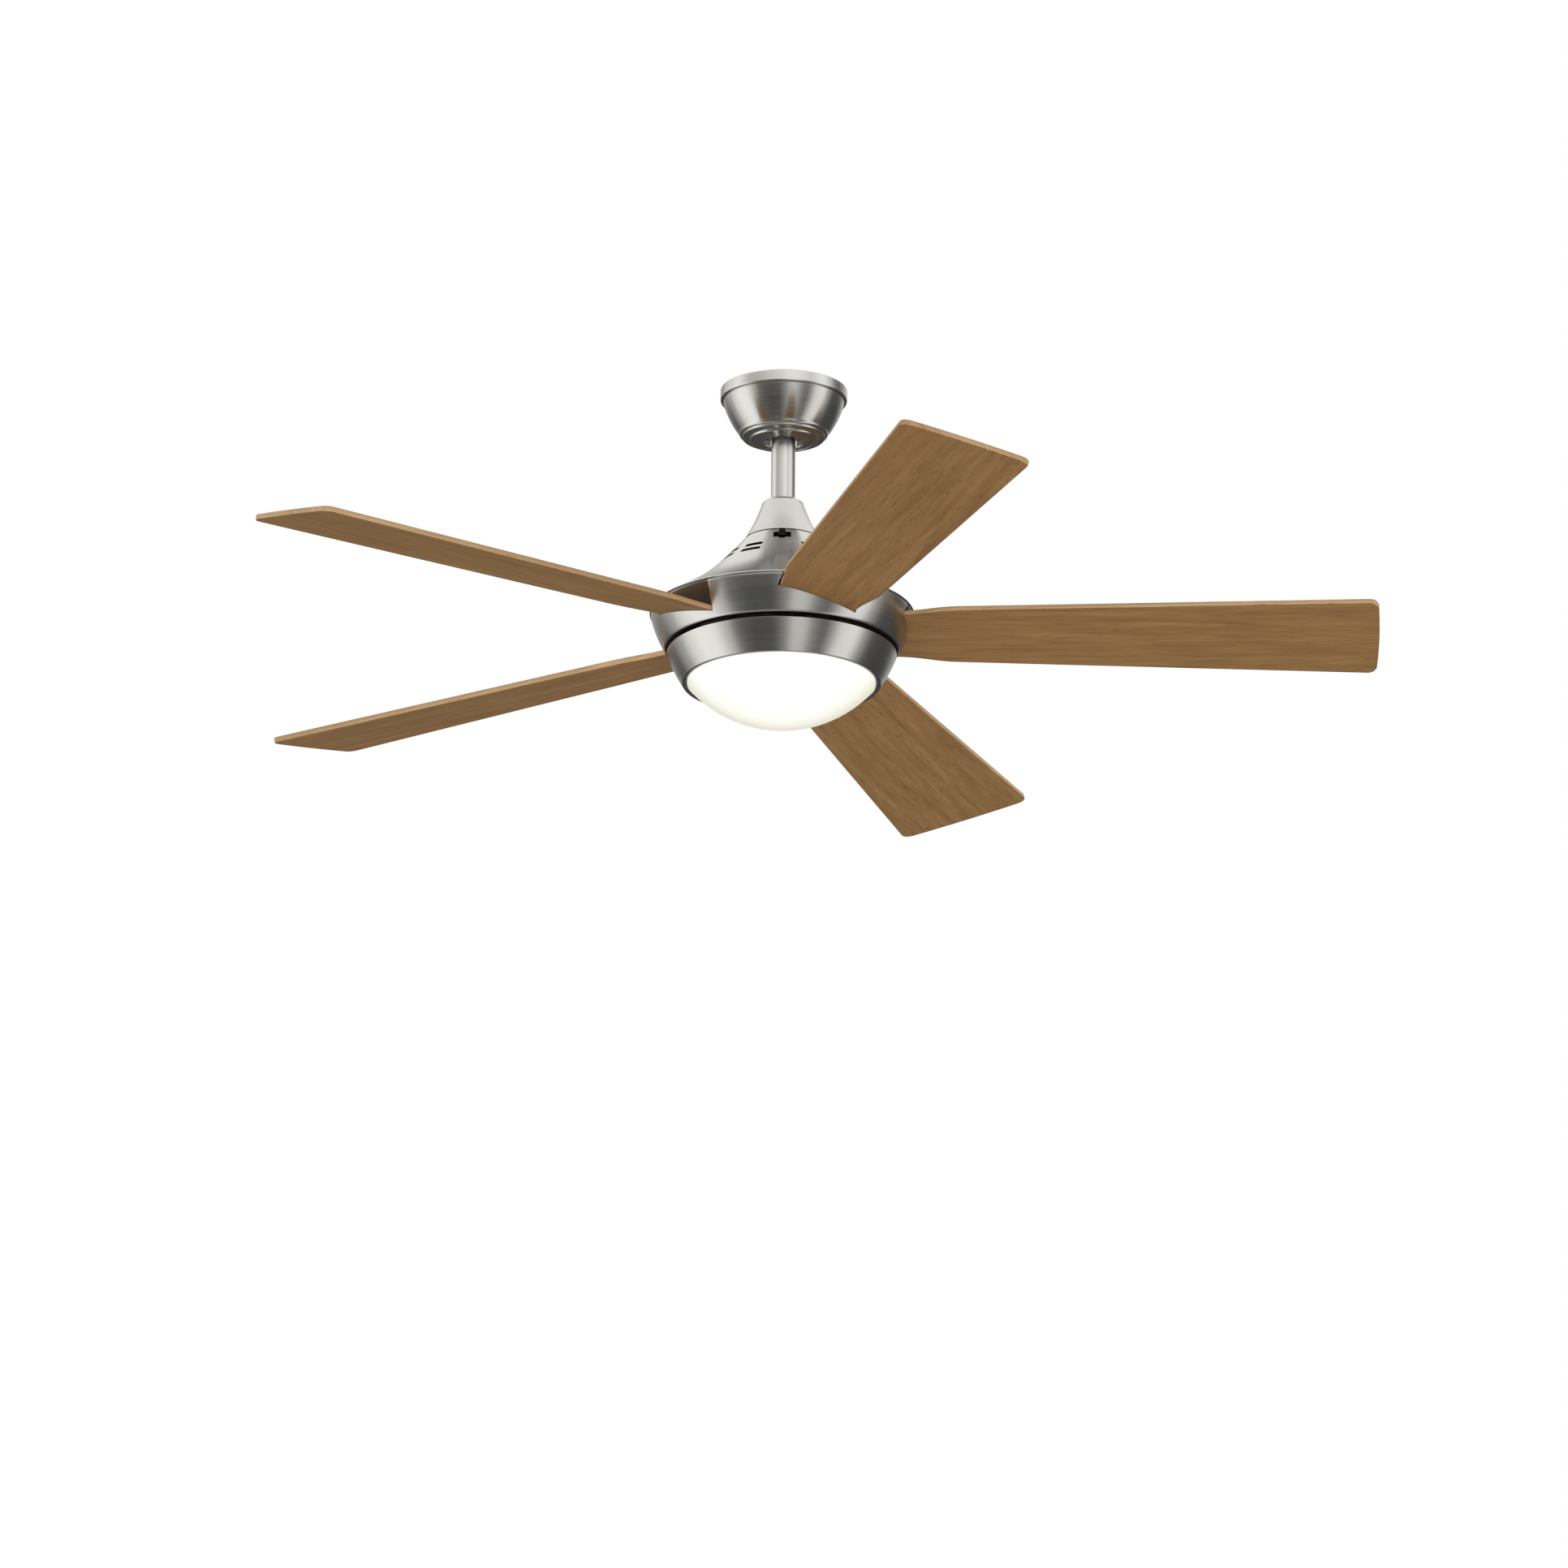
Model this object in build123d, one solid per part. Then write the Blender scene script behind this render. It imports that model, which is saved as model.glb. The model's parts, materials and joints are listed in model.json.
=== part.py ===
from build123d import *
import os
from math import cos, radians, sin, sqrt

# Ceiling fan with an opal light, in millimetres. The origin is the centre of the ceiling plane,
# +Z is up, and blade 1 points along +X. Names ending in _Z are heights, all below the ceiling.

# Fan as a whole
BLADE_COUNT = 5
BLADE_STEP = 360 / BLADE_COUNT
SHEET = 1.5
CLEARANCE = 0.1

# Blades
SWEEP_R = 660.4
BLADE_Z = -288.0
BLADE_PITCH = 11.9
BLADE_THICK = 6.0
ROOT_R = 98.0
NECK_R = 137.0
SHOULDER_R = 187.0
TIP_CORNER_R = 656.7
ROOT_HALF = 44.0
NECK_HALF = 45.5
SHOULDER_HALF = 55.0
TIP_HALF = 75.0
TIP_ROUND = 9.0

# Ceiling side
CANOPY_R = 70.2
CANOPY_BAND = 13.0
CANOPY_GROOVE = 1.2
CANOPY_WALL = 1.2
CANOPY_FLOOR_Z = -54.0
CANOPY_SCREW_R = 43.0
ROD_HOLE_R = 22.0
BALL_Z = -36.0
BALL_R = 26.0
BALL_GAP = 0.3
LINER_WALL = 2.0
SEAT_TOP_Z = -44.0
SEAT_BOTTOM_Z = -54.0
BRACKET_WALL = 2.5
BRACKET_LENGTH = 124.0
BRACKET_WIDTH = 40.0
BRACKET_SIDE_X = 34.0
CEILING_HOLE_PITCH = 88.9
CEILING_SLOT = (20.0, 5.5)

# Down rod and yoke
ROD_R = 13.35
ROD_BORE_R = 10.5
ROD_TOP_Z = -22.0
ROD_END_Z = -166.0
PIN_R = 3.0
BALL_PIN_Z = -32.0
CLEVIS_PIN_Z = -158.0
YOKE_R = 21.0
YOKE_TOP_Z = -150.0
YOKE_WEB_Z = -168.0
YOKE_FLANGE_R = 37.0
YOKE_FLANGE = 4.0
YOKE_SET_SCREW_Z = -165.0
HOUSING_SCREW_R = 30.0

# Coupling cover and upper housing
COVER_TOP_Z = -131.0
COVER_BASE_Z = -176.0
COVER_BASE_R = 41.7
HOUSING_TOP_Z = -177.2
HOUSING_TOP_R = 42.2
HOUSING_NECK_R = 24.0
HOUSING_RIM_Z = -264.4
HOUSING_RIM_R = 146.6
HOUSING_RIM_HEIGHT = 2.2
KEYWAY_SLOT = (6.8, 17.0)
KEYWAY_BAR = (19.4, 8.6)
KEYWAY_BAR_Z = -187.1
VENT_ARC = 20.0
VENT_HEIGHT = 4.4
VENT_STEP = 30
VENT_ROWS_Z = (-200.0, -208.0)

# Motor
SHAFT_R = 10.0
SHAFT_JOURNAL_R = 8.5
SHAFT_BORE_R = 6.0
SHAFT_TOP_Z = -171.2
SHAFT_STEP_Z = -214.0
SHAFT_END_Z = -319.0
BEARING_WIDTH = 12.0
BEARING_TOPS_Z = {"upper": -220.0, "lower": -262.0}
RACE_INNER_R = 11.4
RACE_OUTER_R = 17.0
BEARING_R = 20.0
BEARING_BALL_R = 2.6
BEARING_BALLS = 9
ROTOR_R = 82.0
ROTOR_WALL = 3.0
ROTOR_SPLIT_Z = -251.0
ROTOR_FLOOR_Z = -272.0
ROTOR_EAR_R = 86.0
STATOR_R = 74.0
STATOR_TEETH = 12
STATOR_STACK = 16.0
MAGNET_R = 75.2
MAGNETS = 16

# Blade carrier and bowl
ARM_THICK = 3.0
ARM_PAD_END = 128.0
ARM_SCREW_R = (66.0, 78.0)
BLADE_SCREWS = ((108.0, -20.0), (108.0, 20.0), (121.0, 0.0))
SCREW_R = 2.4
SPIDER_THICK = 2.0
BOWL_TOP_Z = -265.0
BOWL_TOP_R = 145.4
BOWL_MID = (139.4, -284.2)
BOWL_BASE_R = 129.4
BOWL_BASE_Z = -304.5
BOWL_LIP_R = 122.0
BOWL_SCREW_R = 133.0
NOTCH_LEAD = 47.8
NOTCH_TRAIL = 46.2
NOTCH_GAP = 0.5
POCKET_TOP = (144.4, -265.2)
POCKET_END = (129.5, -292.0)
POCKET_WALL = 1.2
POCKET_GAP = 0.6

# Light
RING_TOP_Z = -309.5
RING_TOP_R = 127.0
RING_MID = (119.5, -326.6)
RING_BASE_R = 109.8
RING_BASE_Z = -344.0
RING_OPENING_R = 105.0
RING_FLANGE_R = 112.0
RING_SCREW_R = 116.0
PAN_R = 120.0
PAN_TOP_Z = -311.0
PAN_THICK = 2.0
PAN_SKIRT_R = 96.0
PAN_SKIRT_Z = -342.0
STUD_Z = -337.0
STUD_R = 1.8
LED_BOARD_R = 88.0
LED_BOARD_Z = -326.5
LED_POST_R = 80.0
LED_CHIPS = {30.0: 8, 52.0: 14, 72.0: 20}
DOME_EDGE_R = 104.2
DOME_DEPTH = 47.4
DOME_WALL = 3.0
DOME_NECK_TOP_Z = -333.0
COLLAR_TOP_Z = -331.0
COLLAR_TURN = 20.0

# Leads, laid past both cross pins
LEAD_R = 1.1
LEAD_PLACES = ((-1.3, 4.3), (1.3, 4.3), (0.0, -4.3))

BASE = (Align.CENTER, Align.CENTER, Align.MIN)


def turned(*edges):
    """Solid of revolution about Z of a closed outline given in (radius, height)."""
    return revolve(Plane.XZ * make_face(edges), Axis.Z)


def turned_polygon(*points):
    return turned(*Polyline(*points, close=True).edges())


def tube(outer, inner, low, high):
    body = Pos(0, 0, low) * Cylinder(outer, high - low, align=BASE)
    if inner:
        body -= Pos(0, 0, low - 1) * Cylinder(inner, high - low + 2, align=BASE)
    return body


def block(low, high):
    size = [b - a for a, b in zip(low, high)]
    return Pos(*low) * Box(*size, align=(Align.MIN, Align.MIN, Align.MIN))


def rod_along(direction, radius, start, length):
    """Cylinder from a start point along a direction."""
    return Plane(origin=start, z_dir=direction) * Cylinder(radius, length, align=BASE)


def around(shape, count, first=0.0):
    """Copies of a shape, evenly spaced about Z."""
    return [Rot(0, 0, first + k * 360 / count) * shape for k in range(count)]


def without(body, tools):
    for tool in tools:
        body -= tool
    return body


def skin(curve, wall, steps=10):
    """Edges of a closed section between a curve and its copy moved wall to the curve's right."""
    inner = []
    for k in range(steps + 1):
        along = curve % (k / steps)
        inner.append(curve @ (k / steps) + Vector(along.Y, -along.X) * wall)
    back = Spline(*inner)
    return [curve, back, Line(curve @ 0, back @ 0), Line(curve @ 1, back @ 1)]


def write(name, *solids):
    shape = solids[0] if len(solids) == 1 else Compound(children=list(solids))
    export_step(shape, f"parts/{name}.step")


def screw(radius, head_r, head, length):
    """Screw with its head's underside at the origin and its shank along -Z."""
    shank = Pos(0, 0, -length) * Cylinder(radius, length, align=BASE)
    socket = Pos(0, 0, head * 0.4) * extrude(RegularPolygon(head_r * 0.45, 6), head)
    return shank + Cylinder(head_r, head, align=BASE) - socket


# ---------------------------------------------------------------- ceiling side

def hanger_bracket():
    plate = block((-BRACKET_LENGTH / 2, -BRACKET_WIDTH / 2, -BRACKET_WALL),
                  (BRACKET_LENGTH / 2, BRACKET_WIDTH / 2, 0))
    plate = fillet(plate.edges().filter_by(Axis.Z), 8)
    slot = extrude(SlotOverall(*CEILING_SLOT), -BRACKET_WALL)
    wire_hole = Pos(0, 11, 0) * extrude(RectangleRounded(26, 14, 4), -BRACKET_WALL)
    body = without(plate, [Pos(x, 0, 0) * slot for x in (-CEILING_HOLE_PITCH / 2, CEILING_HOLE_PITCH / 2)])
    body -= wire_hole
    body += tube(BRACKET_SIDE_X, 0, SEAT_BOTTOM_Z, SEAT_TOP_Z)
    for side in (-1, 1):
        outer = side * BRACKET_SIDE_X
        inner = side * (BRACKET_SIDE_X - BRACKET_WALL)
        ear = side * (CANOPY_SCREW_R + 2.6)
        body += block((min(inner, outer), -14, SEAT_BOTTOM_Z), (max(inner, outer), 14, 0))
        body += block((min(inner, ear), -6, CANOPY_FLOOR_Z + CANOPY_WALL),
                      (max(inner, ear), 6, CANOPY_FLOOR_Z + CANOPY_WALL + BRACKET_WALL))
        body -= Pos(side * CANOPY_SCREW_R, 0, CANOPY_FLOOR_Z) * Cylinder(1.95, 8, align=BASE)
    pocket_r = BALL_R + 2 * BALL_GAP + LINER_WALL
    body -= Pos(0, 0, BALL_Z) * Sphere(pocket_r)
    body -= block((-ROD_R - 1, 0, SEAT_BOTTOM_Z - 1), (ROD_R + 1, BRACKET_SIDE_X + 1, SEAT_TOP_Z + 1))
    return body


def hanger_ball_liner():
    inner = BALL_R + BALL_GAP
    body = Pos(0, 0, BALL_Z) * (Sphere(inner + LINER_WALL) - Sphere(inner))
    body &= tube(BRACKET_SIDE_X, 0, SEAT_BOTTOM_Z, SEAT_TOP_Z)
    return body - block((-ROD_R - 1, 0, SEAT_BOTTOM_Z - 1), (ROD_R + 1, BRACKET_SIDE_X, SEAT_TOP_Z + 1))


def hanger_ball():
    body = Pos(0, 0, BALL_Z) * Sphere(BALL_R)
    body &= tube(BALL_R + 1, 0, BALL_Z - 20, BALL_Z + 10)
    body -= tube(ROD_R + CLEARANCE, 0, BALL_Z - 30, BALL_Z + 30)
    slot_half = PIN_R + CLEARANCE
    body -= block((-BALL_R - 1, -slot_half, BALL_PIN_Z), (BALL_R + 1, slot_half, BALL_Z + 30))
    body -= rod_along((1, 0, 0), slot_half, (-BALL_R - 1, 0, BALL_PIN_Z), 2 * BALL_R + 2)
    return body - rod_along((0, -1, 0), 2.05, (0, 0, BALL_Z - 6), BALL_R + 1)


def canopy():
    shoulder_r = CANOPY_R - 3.0
    shoulder_z = -CANOPY_BAND - CANOPY_GROOVE
    corner = (49.0, CANOPY_FLOOR_Z + 2.6)
    bowl = ThreePointArc((shoulder_r, shoulder_z), (60.7, -31.8), corner)
    shell = turned(*skin(bowl, CANOPY_WALL))
    groove_r = shoulder_r - 0.7
    groove_z = shoulder_z - 0.8
    band = turned_polygon((CANOPY_R, 0), (CANOPY_R, -CANOPY_BAND), (groove_r, -CANOPY_BAND),
                          (groove_r, groove_z), (groove_r - 0.8, groove_z),
                          (groove_r - 0.8, -CANOPY_BAND + CANOPY_WALL),
                          (CANOPY_R - CANOPY_WALL, -CANOPY_BAND + CANOPY_WALL), (CANOPY_R - CANOPY_WALL, 0))
    base = turned(ThreePointArc(corner, (48.3, CANOPY_FLOOR_Z + 0.8), (46.6, CANOPY_FLOOR_Z)),
                  Line((46.6, CANOPY_FLOOR_Z), (38.0, CANOPY_FLOOR_Z)),
                  Line((38.0, CANOPY_FLOOR_Z), (38.0, CANOPY_FLOOR_Z + CANOPY_WALL)),
                  Line((38.0, CANOPY_FLOOR_Z + CANOPY_WALL), (46.4, CANOPY_FLOOR_Z + CANOPY_WALL)),
                  Line((46.4, CANOPY_FLOOR_Z + CANOPY_WALL), (48.9, CANOPY_FLOOR_Z + 4.1)),
                  Line((48.9, CANOPY_FLOOR_Z + 4.1), corner))
    body = shell + band + base
    return without(body, [Pos(s * CANOPY_SCREW_R, 0, CANOPY_FLOOR_Z - 1) * Cylinder(3.5, 4, align=BASE)
                          for s in (-1, 1)])


def canopy_bottom_cover():
    rim = turned(Line((45.8, -54.1), (45.2, -55.9)),
                 ThreePointArc((45.2, -55.9), (41.5, -57.1), (37.6, -57.9)),
                 ThreePointArc((37.6, -57.9), (35.6, -60.4), (33.4, -59.4)),
                 ThreePointArc((33.4, -59.4), (28.5, -60.6), (ROD_HOLE_R, -61.6)),
                 Line((ROD_HOLE_R, -61.6), (ROD_HOLE_R, -60.3)),
                 Line((ROD_HOLE_R, -60.3), (34.0, -57.8)),
                 Line((34.0, -57.8), (44.0, -55.0)),
                 Line((44.0, -55.0), (44.4, -54.1)),
                 Line((44.4, -54.1), (45.8, -54.1)))
    return rim


def downrod():
    body = tube(ROD_R, ROD_BORE_R, ROD_END_Z, ROD_TOP_Z)
    for height in (BALL_PIN_Z, CLEVIS_PIN_Z):
        body -= rod_along((1, 0, 0), PIN_R + CLEARANCE / 2, (-ROD_R - 1, 0, height), 2 * ROD_R + 2)
    return body


def yoke():
    flange_top = HOUSING_TOP_Z - SHEET
    flange_base = flange_top - YOKE_FLANGE
    body = tube(YOKE_R, 0, flange_base, YOKE_TOP_Z) + tube(YOKE_FLANGE_R, 0, flange_base, flange_top)
    body = chamfer(body.edges().group_by(Axis.Z)[-1], 1.5)
    body -= tube(ROD_R + CLEARANCE, 0, YOKE_WEB_Z, YOKE_TOP_Z + 1)
    body -= tube(SHAFT_BORE_R, 0, SHAFT_TOP_Z - 1, YOKE_WEB_Z + 1)
    body -= tube(SHAFT_R + 0.02, 0, flange_base - 1, SHAFT_TOP_Z)
    body -= rod_along((1, 0, 0), PIN_R + CLEARANCE / 2, (-YOKE_R - 1, 0, CLEVIS_PIN_Z), 2 * YOKE_R + 2)
    for side in (-1, 1):
        body -= rod_along((0, side, 0), PIN_R + CLEARANCE / 2, (0, side * ROD_R, YOKE_SET_SCREW_Z), YOKE_R)
    holes = [Pos(HOUSING_SCREW_R, 0, flange_base - 1) * Cylinder(1.7, YOKE_FLANGE + 2, align=BASE)]
    return without(body, [Rot(0, 0, 30 + 120 * k) * holes[0] for k in range(3)])


def clevis_pin():
    half = 25.5
    body = rod_along((1, 0, 0), PIN_R, (-half, 0, CLEVIS_PIN_Z), 2 * half)
    body += rod_along((1, 0, 0), PIN_R + 1.5, (-half - 1.5, 0, CLEVIS_PIN_Z), 1.5)
    return body - rod_along((0, 1, 0), 0.95, (half - 2, -PIN_R - 1, CLEVIS_PIN_Z), 2 * PIN_R + 2)


def clevis_clip():
    wire = 0.85
    leg_x = 23.5
    turn = PIN_R + wire + 0.2
    low = CLEVIS_PIN_Z - turn
    path = Polyline((leg_x, 8, CLEVIS_PIN_Z), (leg_x, -5, CLEVIS_PIN_Z))
    path += ThreePointArc((leg_x, -5, CLEVIS_PIN_Z), (leg_x, -5 - turn / 2, CLEVIS_PIN_Z - turn / 2),
                          (leg_x, -5, low))
    path += Line((leg_x, -5, low), (leg_x, 6, low))
    section = Plane(origin=path @ 0, z_dir=path % 0) * Circle(wire)
    return sweep(section, path=path)


# ---------------------------------------------------------------- cover and upper housing

def coupling_cover():
    hole_r = ROD_R + 0.6
    side = Spline((23.6, COVER_TOP_Z - 5.6), (31.2, -156.0), (COVER_BASE_R, COVER_BASE_Z))
    cone = turned(*skin(side, SHEET))
    top = turned(ThreePointArc((23.6, COVER_TOP_Z - 5.6), (22.0, COVER_TOP_Z - 2.0), (18.4, COVER_TOP_Z)),
                 Line((18.4, COVER_TOP_Z), (hole_r, COVER_TOP_Z)),
                 Line((hole_r, COVER_TOP_Z), (hole_r, COVER_TOP_Z - SHEET)),
                 Line((hole_r, COVER_TOP_Z - SHEET), (18.0, COVER_TOP_Z - SHEET)),
                 ThreePointArc((18.0, COVER_TOP_Z - SHEET), (20.8, COVER_TOP_Z - 3.2), (22.1, COVER_TOP_Z - 6.2)),
                 Line((22.1, COVER_TOP_Z - 6.2), (23.6, COVER_TOP_Z - 5.6)))
    return cone + top


def upper_housing():
    rim_top = HOUSING_RIM_Z + HOUSING_RIM_HEIGHT
    flare = Spline((HOUSING_TOP_R, HOUSING_TOP_Z), (59.9, -197.0), (89.8, -226.3), (HOUSING_RIM_R - 1.2, rim_top))
    body = turned(*skin(flare, SHEET))
    body += tube(HOUSING_TOP_R - 0.2, HOUSING_NECK_R, HOUSING_TOP_Z - SHEET, HOUSING_TOP_Z)
    body += tube(HOUSING_RIM_R, HOUSING_RIM_R - 4.5, HOUSING_RIM_Z, rim_top)
    slot_w, slot_h = KEYWAY_SLOT
    bar_w, bar_h = KEYWAY_BAR
    for side in (-1, 1):
        near, far = sorted((side * (YOKE_FLANGE_R + 2), side * 75))
        body -= block((-slot_w / 2, near, HOUSING_TOP_Z - slot_h + 1), (slot_w / 2, far, HOUSING_TOP_Z + 1))
        body -= block((-bar_w / 2, near, KEYWAY_BAR_Z - bar_h / 2), (bar_w / 2, far, KEYWAY_BAR_Z + bar_h / 2))
    for row_z in VENT_ROWS_Z:
        cut = Plane.XZ * Pos(62, row_z) * Rectangle(40, VENT_HEIGHT)
        vent = revolve(cut, Axis.Z, VENT_ARC)
        for azimuth in range(0, 360, VENT_STEP):
            if azimuth not in (90, 270):
                body -= Rot(0, 0, azimuth - VENT_ARC / 2) * vent
    hole = Pos(HOUSING_SCREW_R, 0, HOUSING_TOP_Z - 3) * Cylinder(2.1, 5, align=BASE)
    return without(body, around(hole, 3, 30))


# ---------------------------------------------------------------- motor

def motor_shaft():
    body = tube(SHAFT_R, 0, SHAFT_STEP_Z, SHAFT_TOP_Z) + tube(SHAFT_JOURNAL_R, 0, SHAFT_END_Z, SHAFT_STEP_Z)
    return body - tube(SHAFT_BORE_R, 0, SHAFT_END_Z - 1, SHAFT_TOP_Z + 1)


def bearing(name, top):
    low = top - BEARING_WIDTH
    middle = top - BEARING_WIDTH / 2
    write(f"{name}_bearing_inner_race", tube(RACE_INNER_R, SHAFT_JOURNAL_R + 0.02, low, top))
    write(f"{name}_bearing_outer_race", tube(BEARING_R, RACE_OUTER_R, low, top))
    path_r = RACE_OUTER_R - BEARING_BALL_R - 0.05
    write(f"{name}_bearing_balls", *around(Pos(path_r, 0, middle) * Sphere(BEARING_BALL_R), BEARING_BALLS))


def rotor_ears(low, high, hole_r):
    ears = []
    for ear in around(Pos(ROTOR_EAR_R, 0, low) * Cylinder(4.5, high - low, align=BASE), BLADE_COUNT, 36):
        ears.append(ear)
    holes = around(Pos(ROTOR_EAR_R, 0, low - 1) * Cylinder(hole_r, high - low + 2, align=BASE), BLADE_COUNT, 36)
    return ears, holes


def rotor_cover(section, low, high, hole_r):
    body = turned_polygon(*section)
    ears, holes = rotor_ears(low, high, hole_r)
    inside = tube(ROTOR_R - 1, 0, low - 1, high + 1)
    for ear in ears:
        body += ear - inside
    return without(body, holes)


def rotor_upper_cover():
    pocket = BEARING_R + 0.05
    inner = ROTOR_R - ROTOR_WALL
    top = BEARING_TOPS_Z["upper"]
    section = ((14, top + 2), (24, top + 2), (24, top - 6), (62, top - 6), (ROTOR_R, top - 18),
               (ROTOR_R, ROTOR_SPLIT_Z), (inner, ROTOR_SPLIT_Z), (inner, top - 19.5), (61, top - 9),
               (24, top - 9), (24, top - 12), (pocket, top - 12), (pocket, top), (14, top))
    return rotor_cover(section, ROTOR_SPLIT_Z, ROTOR_SPLIT_Z + 5, 2.3)


def rotor_lower_cover():
    pocket = BEARING_R + 0.05
    inner = ROTOR_R - ROTOR_WALL
    base = BEARING_TOPS_Z["lower"] - BEARING_WIDTH
    floor = ROTOR_FLOOR_Z
    section = ((ROTOR_R, ROTOR_SPLIT_Z), (ROTOR_R, floor), (24, floor), (24, base - 2), (13, base - 2),
               (13, base), (pocket, base), (pocket, base + 13), (24, base + 13), (24, floor + 3),
               (inner, floor + 3), (inner, ROTOR_SPLIT_Z))
    body = rotor_cover(section, ROTOR_SPLIT_Z - 5, ROTOR_SPLIT_Z, 2.1)
    for radius in ARM_SCREW_R:
        hole = Pos(radius, 0, floor - 1) * Cylinder(SCREW_R + 0.05, 5, align=BASE)
        body = without(body, around(hole, BLADE_COUNT))
    return body


def stator_core():
    low = ROTOR_SPLIT_Z - STATOR_STACK / 2
    high = ROTOR_SPLIT_Z + STATOR_STACK / 2
    body = tube(38, SHAFT_JOURNAL_R + 0.02, low, high)
    tips = tube(STATOR_R, 68, low, high)
    tip_wedge = block((60, -14, low), (80, 14, high))
    for k in range(STATOR_TEETH):
        turn = Rot(0, 0, k * 360 / STATOR_TEETH)
        body += turn * block((36, -5, low), (70, 5, high))
        body += tips & (turn * tip_wedge)
    return body


def stator_coil():
    half = STATOR_STACK / 2
    coil = block((42, -8.5, ROTOR_SPLIT_Z - half - 4), (66, 8.5, ROTOR_SPLIT_Z + half + 4))
    coil = fillet(coil.edges().filter_by(Axis.X), 3.5)
    return coil - block((41, -5.1, ROTOR_SPLIT_Z - half - 0.1), (67, 5.1, ROTOR_SPLIT_Z + half + 0.1))


def magnet():
    section = Plane.XZ * Pos((MAGNET_R + ROTOR_R - ROTOR_WALL) / 2, ROTOR_SPLIT_Z)
    width = ROTOR_R - ROTOR_WALL - MAGNET_R - 0.05
    return revolve(section * Rectangle(width, STATOR_STACK), Axis.Z, 20)


# ---------------------------------------------------------------- blades, arms and bowl

def on_blade(shape):
    """Place a shape drawn for an untwisted blade, whose lower face is z = 0, on blade 1."""
    return Pos(0, 0, BLADE_Z) * Rot(-BLADE_PITCH, 0, 0) * shape


def blade():
    tip_mid = SWEEP_R - 0.15
    outline = []
    for side in (-1, 1):
        outline += Polyline((ROOT_R, 0), (ROOT_R, side * ROOT_HALF), (NECK_R, side * NECK_HALF),
                            (SHOULDER_R, side * SHOULDER_HALF), (TIP_CORNER_R, side * TIP_HALF)).edges()
    outline.append(ThreePointArc((TIP_CORNER_R, -TIP_HALF), (tip_mid, 0), (TIP_CORNER_R, TIP_HALF)))
    face = make_face(outline)
    for corner_r, rounding in ((TIP_CORNER_R, TIP_ROUND), (SHOULDER_R, 90), (NECK_R, 60)):
        corners = face.vertices().filter_by(lambda v: abs(v.X - corner_r) < 1 and abs(v.Y) > 1)
        face = fillet(corners, rounding)
    body = extrude(face, BLADE_THICK)
    body = chamfer(body.edges().group_by(Axis.Z)[0] + body.edges().group_by(Axis.Z)[-1], 0.5)
    for x, y in BLADE_SCREWS:
        body -= Pos(x, y, -1) * Cylinder(SCREW_R + 0.05, BLADE_THICK + 2, align=BASE)
    return on_blade(body)


def blade_arm():
    foot_top = ROTOR_FLOOR_Z - SPIDER_THICK
    foot = block((58, -18, foot_top - ARM_THICK), (88, 18, foot_top))
    foot = fillet(foot.edges().filter_by(Axis.Z).group_by(Axis.X)[0], 6)
    pad = block((100, -30, BLADE_THICK), (ARM_PAD_END, 30, BLADE_THICK + ARM_THICK))
    pad = fillet(pad.edges().filter_by(Axis.Z).group_by(Axis.X)[-1], 10)
    start = Plane(origin=(88, 0, foot_top - ARM_THICK / 2), x_dir=(0, 1, 0), z_dir=(1, 0, 0))
    middle = on_blade(Pos(100, 0, BLADE_THICK + ARM_THICK / 2) * Plane.YZ.location)
    link = loft([start * Rectangle(36, ARM_THICK), middle * Rectangle(60, ARM_THICK)])
    body = foot + link + on_blade(pad)
    for x, y in BLADE_SCREWS:
        body -= on_blade(Pos(x, y, -1) * Cylinder(SCREW_R - 0.2, 20, align=BASE))
    for x in ARM_SCREW_R:
        body -= Pos(x, 0, foot_top - 10) * Cylinder(SCREW_R + 0.05, 20, align=BASE)
    return body


def pocket_core(inset):
    """Cone behind the pocket panels, moved in from their outer faces."""
    (top_r, top_z), (end_r, end_z) = POCKET_TOP, POCKET_END
    rise = (top_r - end_r) / (top_z - end_z)
    low_r = top_r + rise * (BOWL_BASE_Z - top_z) - inset
    return turned_polygon((ROTOR_R, BOWL_BASE_Z), (low_r, BOWL_BASE_Z), (top_r - inset, top_z), (ROTOR_R, top_z))


def notch_pockets(wall):
    """Panels sloping in from the rim that close the notches above the blades, each with two cheeks."""
    low = BLADE_THICK + POCKET_GAP
    notch = on_blade(block((90, -NOTCH_LEAD, low), (200, NOTCH_TRAIL, 60)))
    recess = on_blade(block((90, POCKET_WALL - NOTCH_LEAD, 0), (200, NOTCH_TRAIL - POCKET_WALL, 60)))
    bowl = turned(wall, Line(wall @ 1, (ROTOR_R, BOWL_BASE_Z)), Line((ROTOR_R, BOWL_BASE_Z), (ROTOR_R, BOWL_TOP_Z)),
                  Line((ROTOR_R, BOWL_TOP_Z), wall @ 0))
    bowl &= tube(BOWL_TOP_R + 1, ROTOR_R, BOWL_BASE_Z, POCKET_TOP[1])
    pocket = (bowl - pocket_core(POCKET_WALL)) & notch
    pocket -= (bowl - pocket_core(0)) & recess
    return around(pocket, BLADE_COUNT)


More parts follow.
